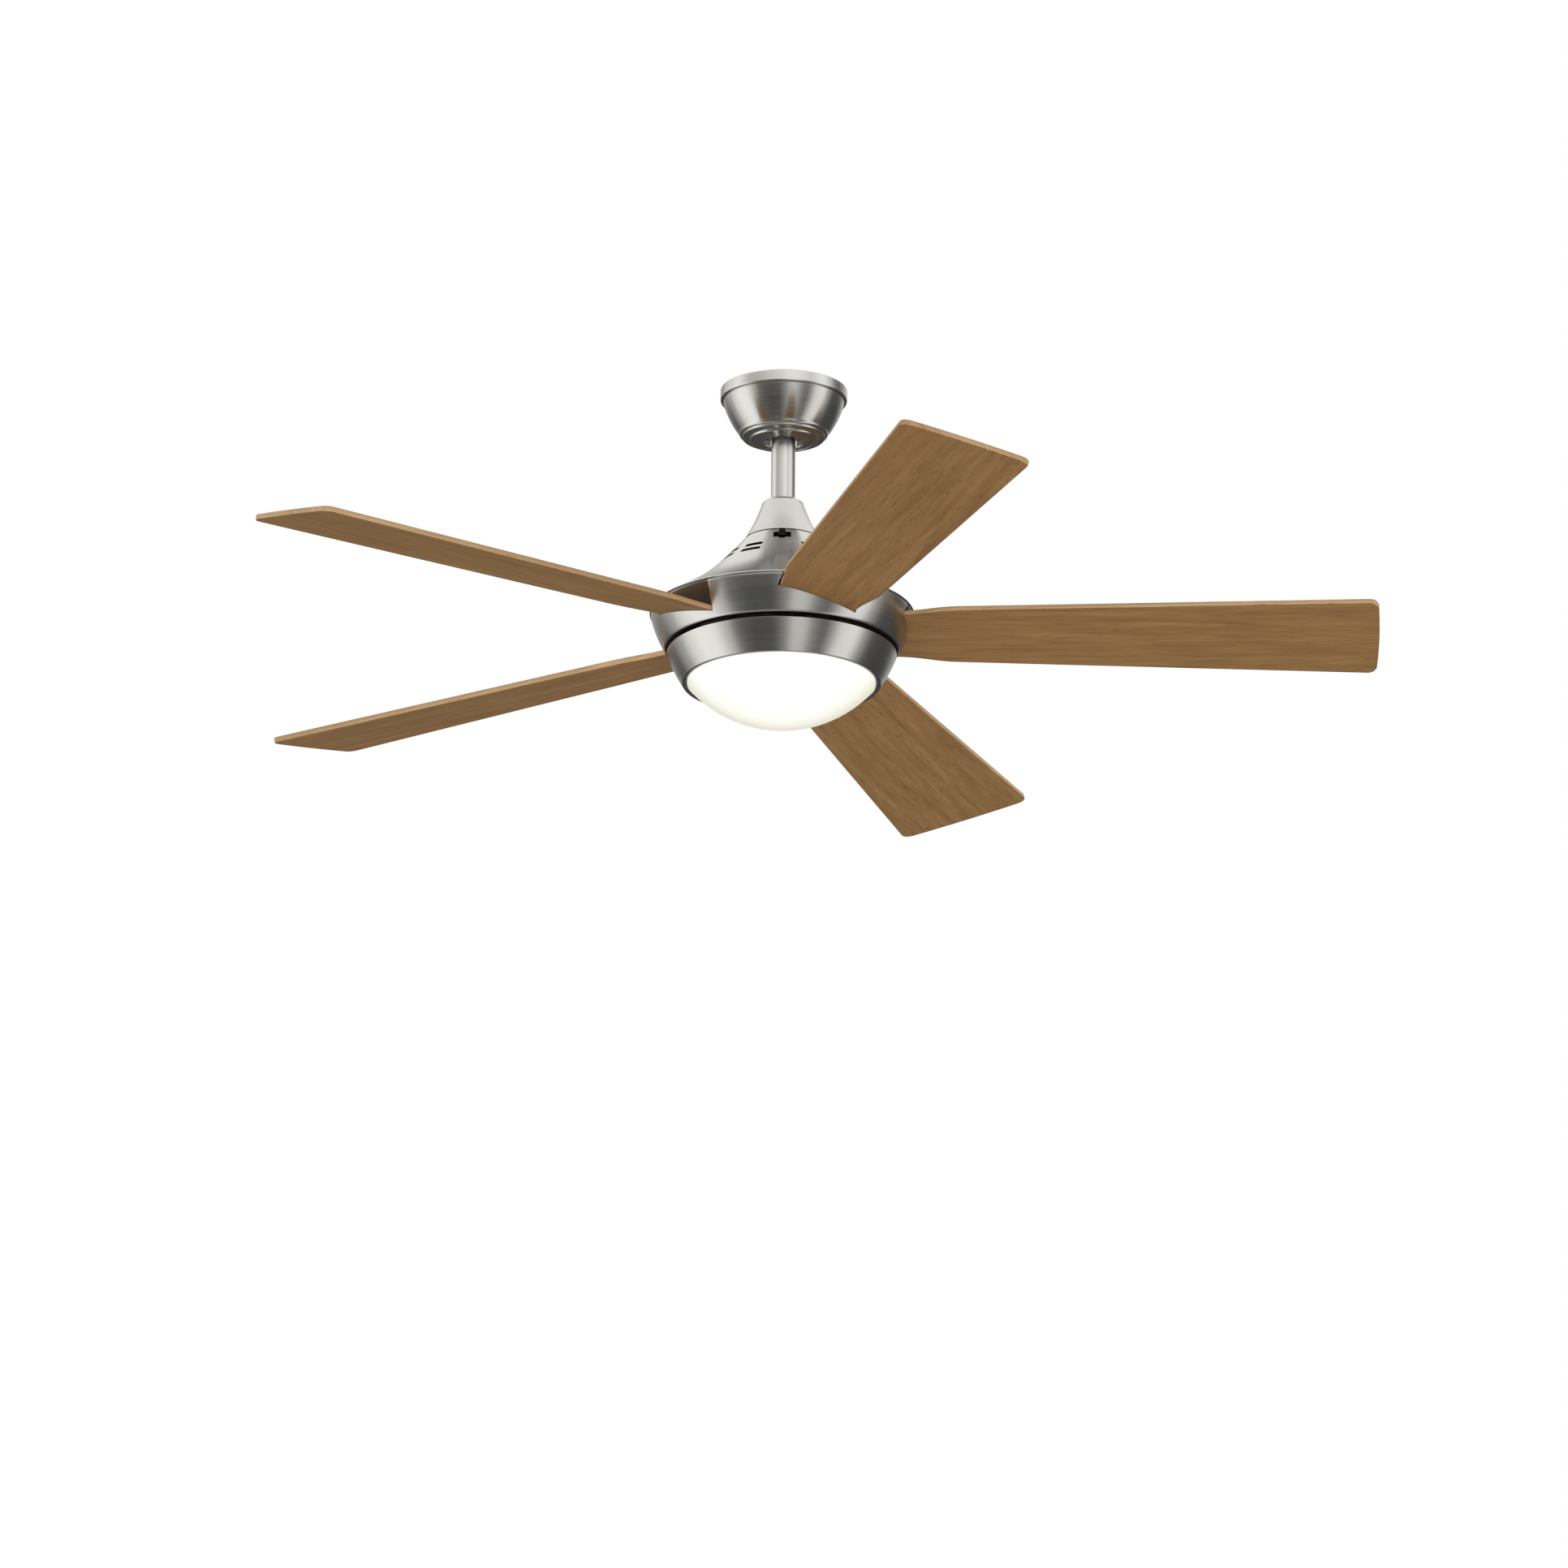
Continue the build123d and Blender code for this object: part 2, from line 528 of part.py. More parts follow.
def blade_bowl():
    wall = ThreePointArc((BOWL_TOP_R, BOWL_TOP_Z), BOWL_MID, (BOWL_BASE_R, BOWL_BASE_Z))
    body = turned(*skin(wall, SHEET))
    body += tube(BOWL_BASE_R - 0.3, BOWL_LIP_R, BOWL_BASE_Z, BOWL_BASE_Z + SHEET)
    notch = on_blade(block((90, -NOTCH_LEAD, -NOTCH_GAP), (200, NOTCH_TRAIL, 60)))
    body = without(body, around(notch, BLADE_COUNT))
    for pocket in notch_pockets(wall):
        body += pocket
    lug_top = ROTOR_FLOOR_Z - SPIDER_THICK
    lug = block((126, -9, lug_top - 3), (141, 9, lug_top))
    lug -= Pos(BOWL_SCREW_R, 0, lug_top - 4) * Cylinder(1.9, 6, align=BASE)
    for copy in around(lug, BLADE_COUNT, 36):
        body += copy
    return body


def bowl_spider():
    low = ROTOR_FLOOR_Z - SPIDER_THICK
    body = tube(86, 58, low, ROTOR_FLOOR_Z)
    spoke = block((84, -8, low), (139, 8, ROTOR_FLOOR_Z))
    for copy in around(spoke, BLADE_COUNT, 36):
        body += copy
    hole = Pos(BOWL_SCREW_R, 0, low - 1) * Cylinder(2.1, 4, align=BASE)
    body = without(body, around(hole, BLADE_COUNT, 36))
    for radius in ARM_SCREW_R:
        hole = Pos(radius, 0, low - 1) * Cylinder(SCREW_R + 0.05, 5, align=BASE)
        body = without(body, around(hole, BLADE_COUNT))
    return body


# ---------------------------------------------------------------- light

def light_pan():
    low = PAN_TOP_Z - PAN_THICK
    body = tube(PAN_R, SHAFT_JOURNAL_R + 0.1, low, PAN_TOP_Z)
    body += tube(PAN_SKIRT_R, PAN_SKIRT_R - SHEET, PAN_SKIRT_Z, low)
    for post in around(Pos(LED_POST_R, 0, LED_BOARD_Z) * Cylinder(3, low - LED_BOARD_Z, align=BASE), 3, 30):
        body += post
    stud = rod_along((1, 0, 0), STUD_R, (PAN_SKIRT_R - 1, 0, STUD_Z), 4.0)
    for copy in around(stud, 3, 90):
        body += copy
    hole = Pos(RING_SCREW_R, 0, low - 1) * Cylinder(1.6, 4, align=BASE)
    return without(body, around(hole, 3, 90))


def light_ring():
    wall = ThreePointArc((RING_TOP_R, RING_TOP_Z), RING_MID, (RING_BASE_R, RING_BASE_Z))
    body = turned(*skin(wall, SHEET))
    body += tube(RING_TOP_R - 0.6, RING_FLANGE_R, RING_TOP_Z - SHEET, RING_TOP_Z)
    body += tube(RING_BASE_R, RING_OPENING_R, RING_BASE_Z, RING_BASE_Z + SHEET)
    hole = Pos(RING_SCREW_R, 0, RING_TOP_Z - 3) * Cylinder(1.9, 5, align=BASE)
    return without(body, around(hole, 3, 90))


def led_driver():
    low = LED_BOARD_Z + 2
    body = block((16, -20, low), (70, 20, PAN_TOP_Z - PAN_THICK - 0.1))
    return chamfer(body.edges().group_by(Axis.Z)[0], 1.5)


def led_chips():
    chips = []
    for radius, count in LED_CHIPS.items():
        chip = Pos(radius, 0, LED_BOARD_Z - 2.6) * Box(3.5, 3.0, 1.0, align=BASE)
        chips += around(chip, count)
    return chips


def glass_dome():
    ball_r = (DOME_EDGE_R ** 2 + DOME_DEPTH ** 2) / (2 * DOME_DEPTH)
    bottom = RING_BASE_Z - DOME_DEPTH
    centre = bottom + ball_r
    inner_r = ball_r - DOME_WALL
    neck_r = DOME_EDGE_R - 0.4
    lip_r = neck_r - DOME_WALL
    half = radians(22.0)
    inner_edge_z = centre - sqrt(inner_r ** 2 - lip_r ** 2)
    return turned(Line((0, bottom), (0, bottom + DOME_WALL)),
                  ThreePointArc((0, bottom), (ball_r * sin(half), centre - ball_r * cos(half)),
                                (DOME_EDGE_R, RING_BASE_Z)),
                  Line((DOME_EDGE_R, RING_BASE_Z), (neck_r, RING_BASE_Z + 1)),
                  Line((neck_r, RING_BASE_Z + 1), (neck_r, DOME_NECK_TOP_Z)),
                  Line((neck_r, DOME_NECK_TOP_Z), (lip_r, DOME_NECK_TOP_Z)),
                  Line((lip_r, DOME_NECK_TOP_Z), (lip_r, inner_edge_z)),
                  ThreePointArc((lip_r, inner_edge_z), (inner_r * sin(half), centre - inner_r * cos(half)),
                                (0, bottom + DOME_WALL)))


def dome_collar():
    outer = DOME_EDGE_R - 0.4 - DOME_WALL - 0.05
    inner = PAN_SKIRT_R + 1.0
    body = tube(outer, inner, STUD_Z - 4, COLLAR_TOP_Z)
    track = Plane.XZ * Pos((outer + inner) / 2, STUD_Z) * Rectangle(outer - inner + 2, 2 * STUD_R + 0.8)
    groove = revolve(track, Axis.Z, COLLAR_TURN + 4)
    half = STUD_R + 0.4
    entry = Rot(0, 0, COLLAR_TURN) * block((inner - 1, -half, STUD_Z - half), (outer + 1, half, COLLAR_TOP_Z + 1))
    for turn in (90, 210, 330):
        body -= Rot(0, 0, turn - 2) * groove
        body -= Rot(0, 0, turn) * entry
    return body


def main():
    os.makedirs("parts", exist_ok=True)

    write("hanger_bracket", hanger_bracket())
    write("hanger_ball_liner", hanger_ball_liner())
    write("hanger_ball", hanger_ball())
    write("hanger_ball_pin", rod_along((1, 0, 0), PIN_R, (-22, 0, BALL_PIN_Z), 44))
    write("hanger_ball_set_screw", rod_along((0, -1, 0), 2.0, (0, -ROD_R, BALL_Z - 6), 10))
    write("canopy", canopy())
    write("canopy_bottom_cover", canopy_bottom_cover())
    canopy_screw = Rot(180, 0, 0) * (Cylinder(3.3, 1.1, align=BASE) + Pos(0, 0, -7) * Cylinder(1.9, 7, align=BASE))
    write("canopy_screws", *[Pos(s * CANOPY_SCREW_R, 0, CANOPY_FLOOR_Z + 1.1) * canopy_screw for s in (-1, 1)])
    receiver = block((-28, -18, -16), (28, 6, -BRACKET_WALL - 0.1))
    write("receiver_module", fillet(receiver.edges().filter_by(Axis.Z), 2))
    write("downrod", downrod())

    write("yoke", yoke())
    write("clevis_pin", clevis_pin())
    write("clevis_clip", clevis_clip())
    write("yoke_set_screws", *[rod_along((0, s, 0), PIN_R, (0, s * (ROD_R + 0.02), YOKE_SET_SCREW_Z), 10)
                               for s in (-1, 1)])
    write("coupling_cover", coupling_cover())
    write("upper_housing", upper_housing())
    housing_screw = Pos(HOUSING_SCREW_R, 0, HOUSING_TOP_Z) * screw(1.65, 3.5, 2.4, 6)
    write("housing_screws", *around(housing_screw, 3, 30))

    write("motor_shaft", motor_shaft())
    for name, top in BEARING_TOPS_Z.items():
        bearing(name, top)
    write("rotor_upper_cover", rotor_upper_cover())
    write("rotor_lower_cover", rotor_lower_cover())
    rotor_screw = Pos(ROTOR_EAR_R, 0, ROTOR_SPLIT_Z + 5) * screw(2.0, 3.6, 2.6, 10)
    write("rotor_screws", *around(rotor_screw, BLADE_COUNT, 36))
    write("rotor_magnets", *around(magnet(), MAGNETS))
    write("stator_core", stator_core())
    write("stator_windings", *around(stator_coil(), STATOR_TEETH))

    one_blade = blade()
    one_arm = blade_arm()
    blade_screws = []
    arm_screws = []
    for k in range(BLADE_COUNT):
        turn = Rot(0, 0, -k * BLADE_STEP)
        write(f"blade_{k + 1}", turn * one_blade)
        write(f"blade_arm_{k + 1}", turn * one_arm)
        for x, y in BLADE_SCREWS:
            upside_down = Pos(x, y, 0) * Rot(180, 0, 0) * screw(SCREW_R - 0.2, 4.5, 2.2, BLADE_THICK + ARM_THICK + 1)
            blade_screws.append(turn * on_blade(upside_down))
        for x in ARM_SCREW_R:
            low = ROTOR_FLOOR_Z - SPIDER_THICK - ARM_THICK
            arm_screws.append(turn * Pos(x, 0, low) * Rot(180, 0, 0) * screw(SCREW_R, 4.5, 2.4, 9))
    write("blade_screws", *blade_screws)
    write("blade_arm_screws", *arm_screws)
    write("blade_bowl", blade_bowl())
    write("bowl_spider", bowl_spider())
    bowl_screw = Pos(BOWL_SCREW_R, 0, ROTOR_FLOOR_Z) * screw(1.85, 3.6, 2.2, 8)
    write("bowl_screws", *around(bowl_screw, BLADE_COUNT, 36))

    write("light_pan", light_pan())
    pan_base = PAN_TOP_Z - PAN_THICK
    nut = Pos(0, 0, pan_base - 4) * extrude(RegularPolygon(13, 6), 4)
    write("shaft_nut", nut - tube(SHAFT_JOURNAL_R + 0.02, 0, pan_base - 5, pan_base + 1))
    write("light_ring", light_ring())
    ring_screw = Pos(RING_SCREW_R, 0, RING_TOP_Z) * screw(1.55, 3.0, 1.6, 6)
    write("light_ring_screws", *around(ring_screw, 3, 90))
    write("led_board", tube(LED_BOARD_R, SHAFT_R, LED_BOARD_Z - 1.6, LED_BOARD_Z))
    write("led_chips", *led_chips())
    write("led_driver", led_driver())
    write("glass_dome", glass_dome())
    write("dome_collar", dome_collar())
    lead = Cylinder(LEAD_R, ROD_TOP_Z - SHAFT_END_Z + 3, align=BASE)
    write("motor_and_light_leads", *[Pos(x, y, SHAFT_END_Z - 1) * lead for x, y in LEAD_PLACES])


main()
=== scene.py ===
import json
import math

import bmesh
import bpy
import numpy as np
from mathutils import Matrix, Vector


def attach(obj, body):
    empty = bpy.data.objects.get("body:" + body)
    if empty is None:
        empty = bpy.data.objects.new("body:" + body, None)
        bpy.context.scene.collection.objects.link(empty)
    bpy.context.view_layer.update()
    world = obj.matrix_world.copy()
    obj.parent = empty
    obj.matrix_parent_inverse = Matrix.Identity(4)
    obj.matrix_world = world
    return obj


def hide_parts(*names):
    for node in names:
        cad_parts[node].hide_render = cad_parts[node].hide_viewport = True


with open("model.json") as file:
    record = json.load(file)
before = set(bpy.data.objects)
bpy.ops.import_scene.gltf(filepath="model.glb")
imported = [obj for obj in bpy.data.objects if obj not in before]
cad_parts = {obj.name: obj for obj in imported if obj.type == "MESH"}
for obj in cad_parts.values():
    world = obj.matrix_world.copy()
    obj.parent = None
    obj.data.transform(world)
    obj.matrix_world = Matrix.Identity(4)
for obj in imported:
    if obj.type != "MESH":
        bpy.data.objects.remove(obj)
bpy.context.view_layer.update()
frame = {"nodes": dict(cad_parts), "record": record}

# Looks of the ceiling fan. Profiles are in millimetres in the CAD frame (origin at the ceiling, +Z up)
# and become metres in the mesh builders.

MM = 0.001
SEGMENTS = 240
FINE_SEGMENTS = 360
BOWL_SEGMENTS = 900
SHARP_DEG = 32

# Near-black painted shade on insides: how far behind a shell's outer surface a face lies, and the top radius
# of a narrow shell
HIDDEN_DEPTH = 0.35
NARROW_SHELL_R = 60

# Down rod
ROD_R = 13.35
ROD_BORE_R = 10.5
ROD_TOP_Z = -22.0
ROD_END_Z = -166.0
ROD_PIN_HEIGHTS = (-32.0, -158.0)
ROD_PIN_R = 3.05

# Upper housing
VENT_ROWS_Z = (-200.0, -208.0)
VENT_HEIGHT = 4.4
VENT_WIDTH_DEG = 20
VENT_STEP_DEG = 30
VENT_REACH = (45, 85)
KEYWAY_DEG = (90, 270)
KEYWAY_REACH = (39, 75)
KEYWAY_SLOT_WIDTH = 6.8
KEYWAY_SLOT_Z = (-193.2, -176.2)
KEYWAY_BAR_WIDTH = 19.4
KEYWAY_BAR_Z = (-191.4, -182.8)
NECK_HOLE_COUNT = 3
NECK_HOLE_R = 30.0
NECK_HOLE_HALF = 2.0

# Blade bowl
BOWL_TOP = (145.4, -265.0)
BOWL_FOOT = (129.4, -304.5)
BOWL_BULGE = 2.0
NOTCH_LEAD = 47.8
NOTCH_TRAIL = 46.2
NOTCH_SOFT_SIDE = 2.4
POCKET_TOP = (145.2, -265.2)
POCKET_END = (129.7, -292.0)
POCKET_SHADE_Z = -266.0

# Glass dome
GLASS_EDGE_R = 104.2
GLASS_DEPTH = 47.4
GLASS_WALL = 3.0
GLASS_NECK_R = 100.8
GLASS_RIM_Z = -344.0

# Blades
BLADE_COUNT = 5
BLADE_Z = -288.0
BLADE_PITCH = 11.9
BLADE_THICK = 6.0
BLADE_EASE = 1.3
WIDTH_STATIONS = (98.0, 132.0, 194.0, 656.7)
HALF_WIDTHS = (44.0, 45.2, 55.4, 75.0)
NECK_SWELL = 0.77
TIP_CORNER = 656.3
TIP_MIDDLE = 659.85
TIP_ROUND = 9.0
TIP_BOW_START = 560.0
TIP_BOW_LENGTH = 96.7


# ---------------------------------------------------------------- small geometry helpers

def smoothstep(x):
    x = min(max(x, 0.0), 1.0)
    return x * x * (3 - 2 * x)


def smooth_curve(points, steps):
    """Natural cubic curve through points, spaced by chord length."""
    pts = np.array(points, float)
    t = np.concatenate([[0], np.cumsum(np.linalg.norm(np.diff(pts, axis=0), axis=1))])
    n = len(pts)
    h = np.diff(t)
    system = np.eye(n)
    right = np.zeros((n, 2))
    for i in range(1, n - 1):
        system[i, i - 1:i + 2] = h[i - 1], 2 * (h[i - 1] + h[i]), h[i]
        right[i] = 6 * ((pts[i + 1] - pts[i]) / h[i] - (pts[i] - pts[i - 1]) / h[i - 1])
    bend = np.linalg.solve(system, right)
    out = []
    for x in np.linspace(0, t[-1], steps + 1):
        i = min(int(np.searchsorted(t, x, side="right")) - 1, n - 2)
        a, b = t[i + 1] - x, x - t[i]
        cubic = bend[i] * a ** 3 / (6 * h[i]) + bend[i + 1] * b ** 3 / (6 * h[i])
        out.append(cubic + (pts[i] / h[i] - bend[i] * h[i] / 6) * a
                   + (pts[i + 1] / h[i] - bend[i + 1] * h[i] / 6) * b)
    return [tuple(p) for p in out]


def arc_curve(start, middle, end, steps):
    """Points of the circular arc through three points."""
    (ax, ay), (bx, by), (cx, cy) = start, middle, end
    d = 2 * (ax * (by - cy) + bx * (cy - ay) + cx * (ay - by))
    a2, b2, c2 = ax * ax + ay * ay, bx * bx + by * by, cx * cx + cy * cy
    ux = (a2 * (by - cy) + b2 * (cy - ay) + c2 * (ay - by)) / d
    uy = (a2 * (cx - bx) + b2 * (ax - cx) + c2 * (bx - ax)) / d
    radius = math.hypot(ax - ux, ay - uy)
    angles = [math.atan2(y - uy, x - ux) for x, y in (start, middle, end)]
    sweep = (angles[2] - angles[0] + math.pi) % (2 * math.pi) - math.pi
    turns = [angles[0] + sweep * k / steps for k in range(steps + 1)]
    return [(ux + radius * math.cos(turn), uy + radius * math.sin(turn)) for turn in turns]


def rounded(points, steps=4):
    """Closed outline from (x, y, rounding) corners: each corner with a rounding becomes a short arc."""
    out = []
    count = len(points)
    for i, (x, y, rounding) in enumerate(points):
        here = Vector((x, y))
        before = Vector(points[i - 1][:2]) - here
        after = Vector(points[(i + 1) % count][:2]) - here
        cut = min(rounding, 0.45 * before.length, 0.45 * after.length)
        if cut < 1e-4:
            out.append((x, y))
            continue
        a = here + before.normalized() * cut
        b = here + after.normalized() * cut
        for k in range(steps + 1):
            t = k / steps
            p = a * (1 - t) ** 2 + here * 2 * t * (1 - t) + b * t * t
            out.append((p.x, p.y))
    return out


def finish_mesh(name, bm, sharp_deg=SHARP_DEG):
    """Turn a bmesh into a linked object with smooth faces and sharp edges where it bends."""
    bmesh.ops.recalc_face_normals(bm, faces=bm.faces)
    mesh = bpy.data.meshes.new(name)
    bm.to_mesh(mesh)
    bm.free()
    for polygon in mesh.polygons:
        polygon.use_smooth = True
    mesh.set_sharp_from_angle(angle=math.radians(sharp_deg))
    piece = bpy.data.objects.new(name, mesh)
    bpy.context.scene.collection.objects.link(piece)
    return piece


def lathe(name, outline, segments=SEGMENTS, dent=None):
    """Solid of revolution of a closed (radius, height) outline.

    dent(turn, radius, height) gives how far a point is pushed toward the axis."""
    bm = bmesh.new()
    rings = []
    for k in range(segments):
        turn = 2 * math.pi * k / segments
        c, s = math.cos(turn), math.sin(turn)
        ring = []
        for r, z in outline:
            r -= dent(turn, r, z) if dent else 0.0
            ring.append(bm.verts.new((r * c * MM, r * s * MM, z * MM)))
        rings.append(ring)
    count = len(outline)
    for k in range(segments):
        a, b = rings[k], rings[(k + 1) % segments]
        for i in range(count):
            j = (i + 1) % count
            if outline[i][0] < 1e-6 and outline[j][0] < 1e-6:
                continue
            bm.faces.new((a[i], a[j], b[j], b[i]))
    bmesh.ops.remove_doubles(bm, verts=bm.verts, dist=1e-7)
    return finish_mesh(name, bm)


def box_mesh(name, low, high, matrix=Matrix.Identity(4)):
    """Block used only as a cutter."""
    bm = bmesh.new()
    bmesh.ops.create_cube(bm, size=1)
    size = [(b - a) * MM for a, b in zip(low, high)]
    middle = [(a + b) / 2 * MM for a, b in zip(low, high)]
    bmesh.ops.scale(bm, vec=size, verts=bm.verts)
    bmesh.ops.translate(bm, vec=middle, verts=bm.verts)
    bm.transform(matrix)
    return finish_mesh(name, bm)


def cut(piece, cutters):
    """Subtract closed meshes from a piece, then remove them."""
    bpy.context.view_layer.update()
    for cutter in cutters:
        boolean = piece.modifiers.new("cut", "BOOLEAN")
        boolean.operation = "DIFFERENCE"
        boolean.solver = "EXACT"
        boolean.object = cutter
    evaluated = piece.evaluated_get(bpy.context.evaluated_depsgraph_get())
    mesh = bpy.data.meshes.new_from_object(evaluated)
    piece.modifiers.clear()
    piece.data = mesh
    for cutter in cutters:
        bpy.data.objects.remove(cutter)
    for polygon in mesh.polygons:
        polygon.use_smooth = True
    mesh.set_sharp_from_angle(angle=math.radians(SHARP_DEG))
    return piece


def arc_block(name, radius_in, radius_out, low, high, azimuth, width, steps=10):
    """Cutter: part of a ring, for a vent slit. Angles are in degrees."""
    bm = bmesh.new()
    section = ((radius_in, low), (radius_out, low), (radius_out, high), (radius_in, high))
    rows = []
    for k in range(steps + 1):
        turn = math.radians(azimuth - width / 2 + width * k / steps)
        c, s = math.cos(turn), math.sin(turn)
        rows.append([bm.verts.new((r * c * MM, r * s * MM, z * MM)) for r, z in section])
    for a, b in zip(rows, rows[1:]):
        for i in range(4):
            bm.faces.new((a[i], a[(i + 1) % 4], b[(i + 1) % 4], b[i]))
    bm.faces.new(rows[0])
    bm.faces.new(rows[-1])
    return finish_mesh(name, bm)


# ---------------------------------------------------------------- material helpers

class Shader:
    """A material's node tree with short ways to add nodes."""

    def __init__(self, name):
        self.material = bpy.data.materials.new(name)
        self.material.use_nodes = True
        self.tree = self.material.node_tree
        self.surface = self.tree.nodes["Principled BSDF"]

    def add(self, kind, inputs=None, **settings):
        node = self.tree.nodes.new("ShaderNode" + kind)
        for key, value in settings.items():
            setattr(node, key, value)
        for key, value in (inputs or {}).items():
            self.feed(node.inputs[key], value)
        return node

    def feed(self, socket, value):
        if isinstance(value, bpy.types.NodeSocket):
            self.tree.links.new(value, socket)
        else:
            socket.default_value = value

    def set(self, **inputs):
        for key, value in inputs.items():
            self.feed(self.surface.inputs[key.replace("_", " ")], value)

    def place(self, scale=(1, 1, 1), offset=(0, 0, 0), source="Object"):
        coords = self.add("TexCoord").outputs[source]
        return self.add("Mapping", {"Vector": coords, "Scale": scale, "Location": offset}).outputs["Vector"]

    def noise(self, where, scale, detail=3.0, roughness=0.55, distortion=0.0):
        inputs = {"Vector": where, "Scale": scale, "Detail": detail, "Roughness": roughness,
                  "Distortion": distortion}
        return self.add("TexNoise", inputs).outputs["Fac"]

    def ramp(self, factor, stops):
        node = self.add("ValToRGB", {"Fac": factor})
        band = node.color_ramp
        while len(band.elements) < len(stops):
            band.elements.new(0.5)
        for element, (place, colour) in zip(band.elements, stops):
            element.position = place
            element.color = (*colour, 1)
        return node.outputs["Color"]

    def spread(self, value, low, high, start=0.0, end=1.0):
        inputs = {"Value": value, "From Min": start, "From Max": end, "To Min": low, "To Max": high}
        return self.add("MapRange", inputs).outputs["Result"]

    def sum(self, a, b):
        return self.add("Math", {0: a, 1: b}, operation="ADD").outputs[0]

    def mix(self, factor, a, b, blend="MIX"):
        node = self.add("Mix", data_type="RGBA", blend_type=blend)
        self.feed(node.inputs[0], factor)
        self.feed(node.inputs[6], a)
        self.feed(node.inputs[7], b)
        return node.outputs[2]

    def bump(self, height, strength, distance, normal=None):
        inputs = {"Height": height, "Strength": strength, "Distance": distance}
        if normal is not None:
            inputs["Normal"] = normal
        return self.add("Bump", inputs).outputs["Normal"]


def brushed_metal(name, tint, rough_low, rough_high, anisotropy=0.6, painted_shade_tint=None):
    """Satin metal brushed around Z: fine lines run round the piece. Recesses may take a darker painted
    shade.
    """
    s = Shader(name)
    fine_lines = s.noise(s.place((5, 5, 1500)), 1.0, 3.0, 0.6)
    broad_lines = s.noise(s.place((3, 3, 330), (3, 1, 7)), 1.0, 3.0)
    smudge = s.noise(s.place(), 9.0, 3.0)
    lines = s.mix(0.22, fine_lines, broad_lines)
    dark = tuple(c * 0.95 for c in tint)
    base = s.mix(s.spread(lines, 0, 1, 0.35, 0.65), (*dark, 1), (*tint, 1))
    # Painted shade: a per-point attribute darkens the base colour toward the given tint
    if painted_shade_tint:
        base = s.mix(s.add("Attribute", attribute_name="painted_recess_shade").outputs["Fac"], base, (*painted_shade_tint, 1))
    s.set(Base_Color=base,
          Metallic=1.0,
          Roughness=s.sum(s.spread(lines, rough_low, rough_high, 0.35, 0.65),
                          s.spread(smudge, 0.0, 0.03, 0.35, 0.75)),
          Anisotropic=anisotropy,
          Anisotropic_Rotation=0.25,
          Normal=s.bump(lines, 0.02, 0.00003))
    tangent = s.add("Tangent", direction_type="RADIAL", axis="Z")
    s.set(Tangent=tangent.outputs["Tangent"])
    return s.material


def mottled_metal(name, tint, rough, grain=260.0, bump=0.12, shade=0.82):
    """Cast, zinc-plated or ground metal: fine mottling, no direction."""
    s = Shader(name)
    where = s.place()
    fine = s.noise(where, grain, 5.0, 0.6)
    broad = s.noise(where, grain * 0.08, 3.0, 0.5)
    dark = tuple(c * shade for c in tint)
    s.set(Base_Color=s.mix(s.spread(broad, 0, 1, 0.3, 0.7), (*dark, 1), (*tint, 1)),
          Metallic=1.0,
          Roughness=s.spread(fine, rough - 0.07, rough + 0.1, 0.3, 0.7),
          Normal=s.bump(fine, bump, 0.0002))
    return s.material


def moulded(name, tint, rough, grain=1400.0, bump=0.08):
    """Moulded plastic, rubber or board: fine sparkle of surface texture and slight shade changes."""
    s = Shader(name)
    where = s.place()
    fine = s.noise(where, grain, 2.0)
    broad = s.noise(where, 24.0, 3.0)
    dark = tuple(c * 0.9 for c in tint)
    s.set(Base_Color=s.mix(s.spread(broad, 0, 1, 0.35, 0.65), (*dark, 1), (*tint, 1)),
          Roughness=s.spread(fine, rough - 0.05, rough + 0.08, 0.3, 0.7),
          Normal=s.bump(fine, bump, 0.00015))
    return s.material


def wound_copper(name):
    """Enamelled wire laid round the teeth."""
    s = Shader(name)
    wires = s.add("TexWave", {"Vector": s.place(), "Scale": 420.0, "Distortion": 1.2, "Detail": 1.0},
                  wave_type="BANDS", bands_direction="Z").outputs["Fac"]
    s.set(Base_Color=s.ramp(wires, [(0.0, (0.18, 0.06, 0.02)), (1.0, (0.74, 0.34, 0.14))]),
          Metallic=0.9, Roughness=s.spread(wires, 0.42, 0.28), Normal=s.bump(wires, 0.5, 0.0004),
          Coat_Weight=0.3, Coat_Roughness=0.1)
    return s.material


def laminations(name):
    """Stack of thin steel sheets: lines at each sheet's edge."""
    s = Shader(name)
    sheets = s.add("TexWave", {"Vector": s.place(), "Scale": 500.0, "Distortion": 0.1},
                   wave_type="BANDS", bands_direction="Z").outputs["Fac"]
    grain = s.noise(s.place(), 300.0, 3.0)
    s.set(Base_Color=s.ramp(sheets, [(0.0, (0.05, 0.05, 0.055)), (0.6, (0.28, 0.28, 0.29))]),
          Metallic=0.8, Roughness=s.spread(grain, 0.4, 0.6, 0.3, 0.7), Normal=s.bump(sheets, 0.3, 0.0002))
    return s.material


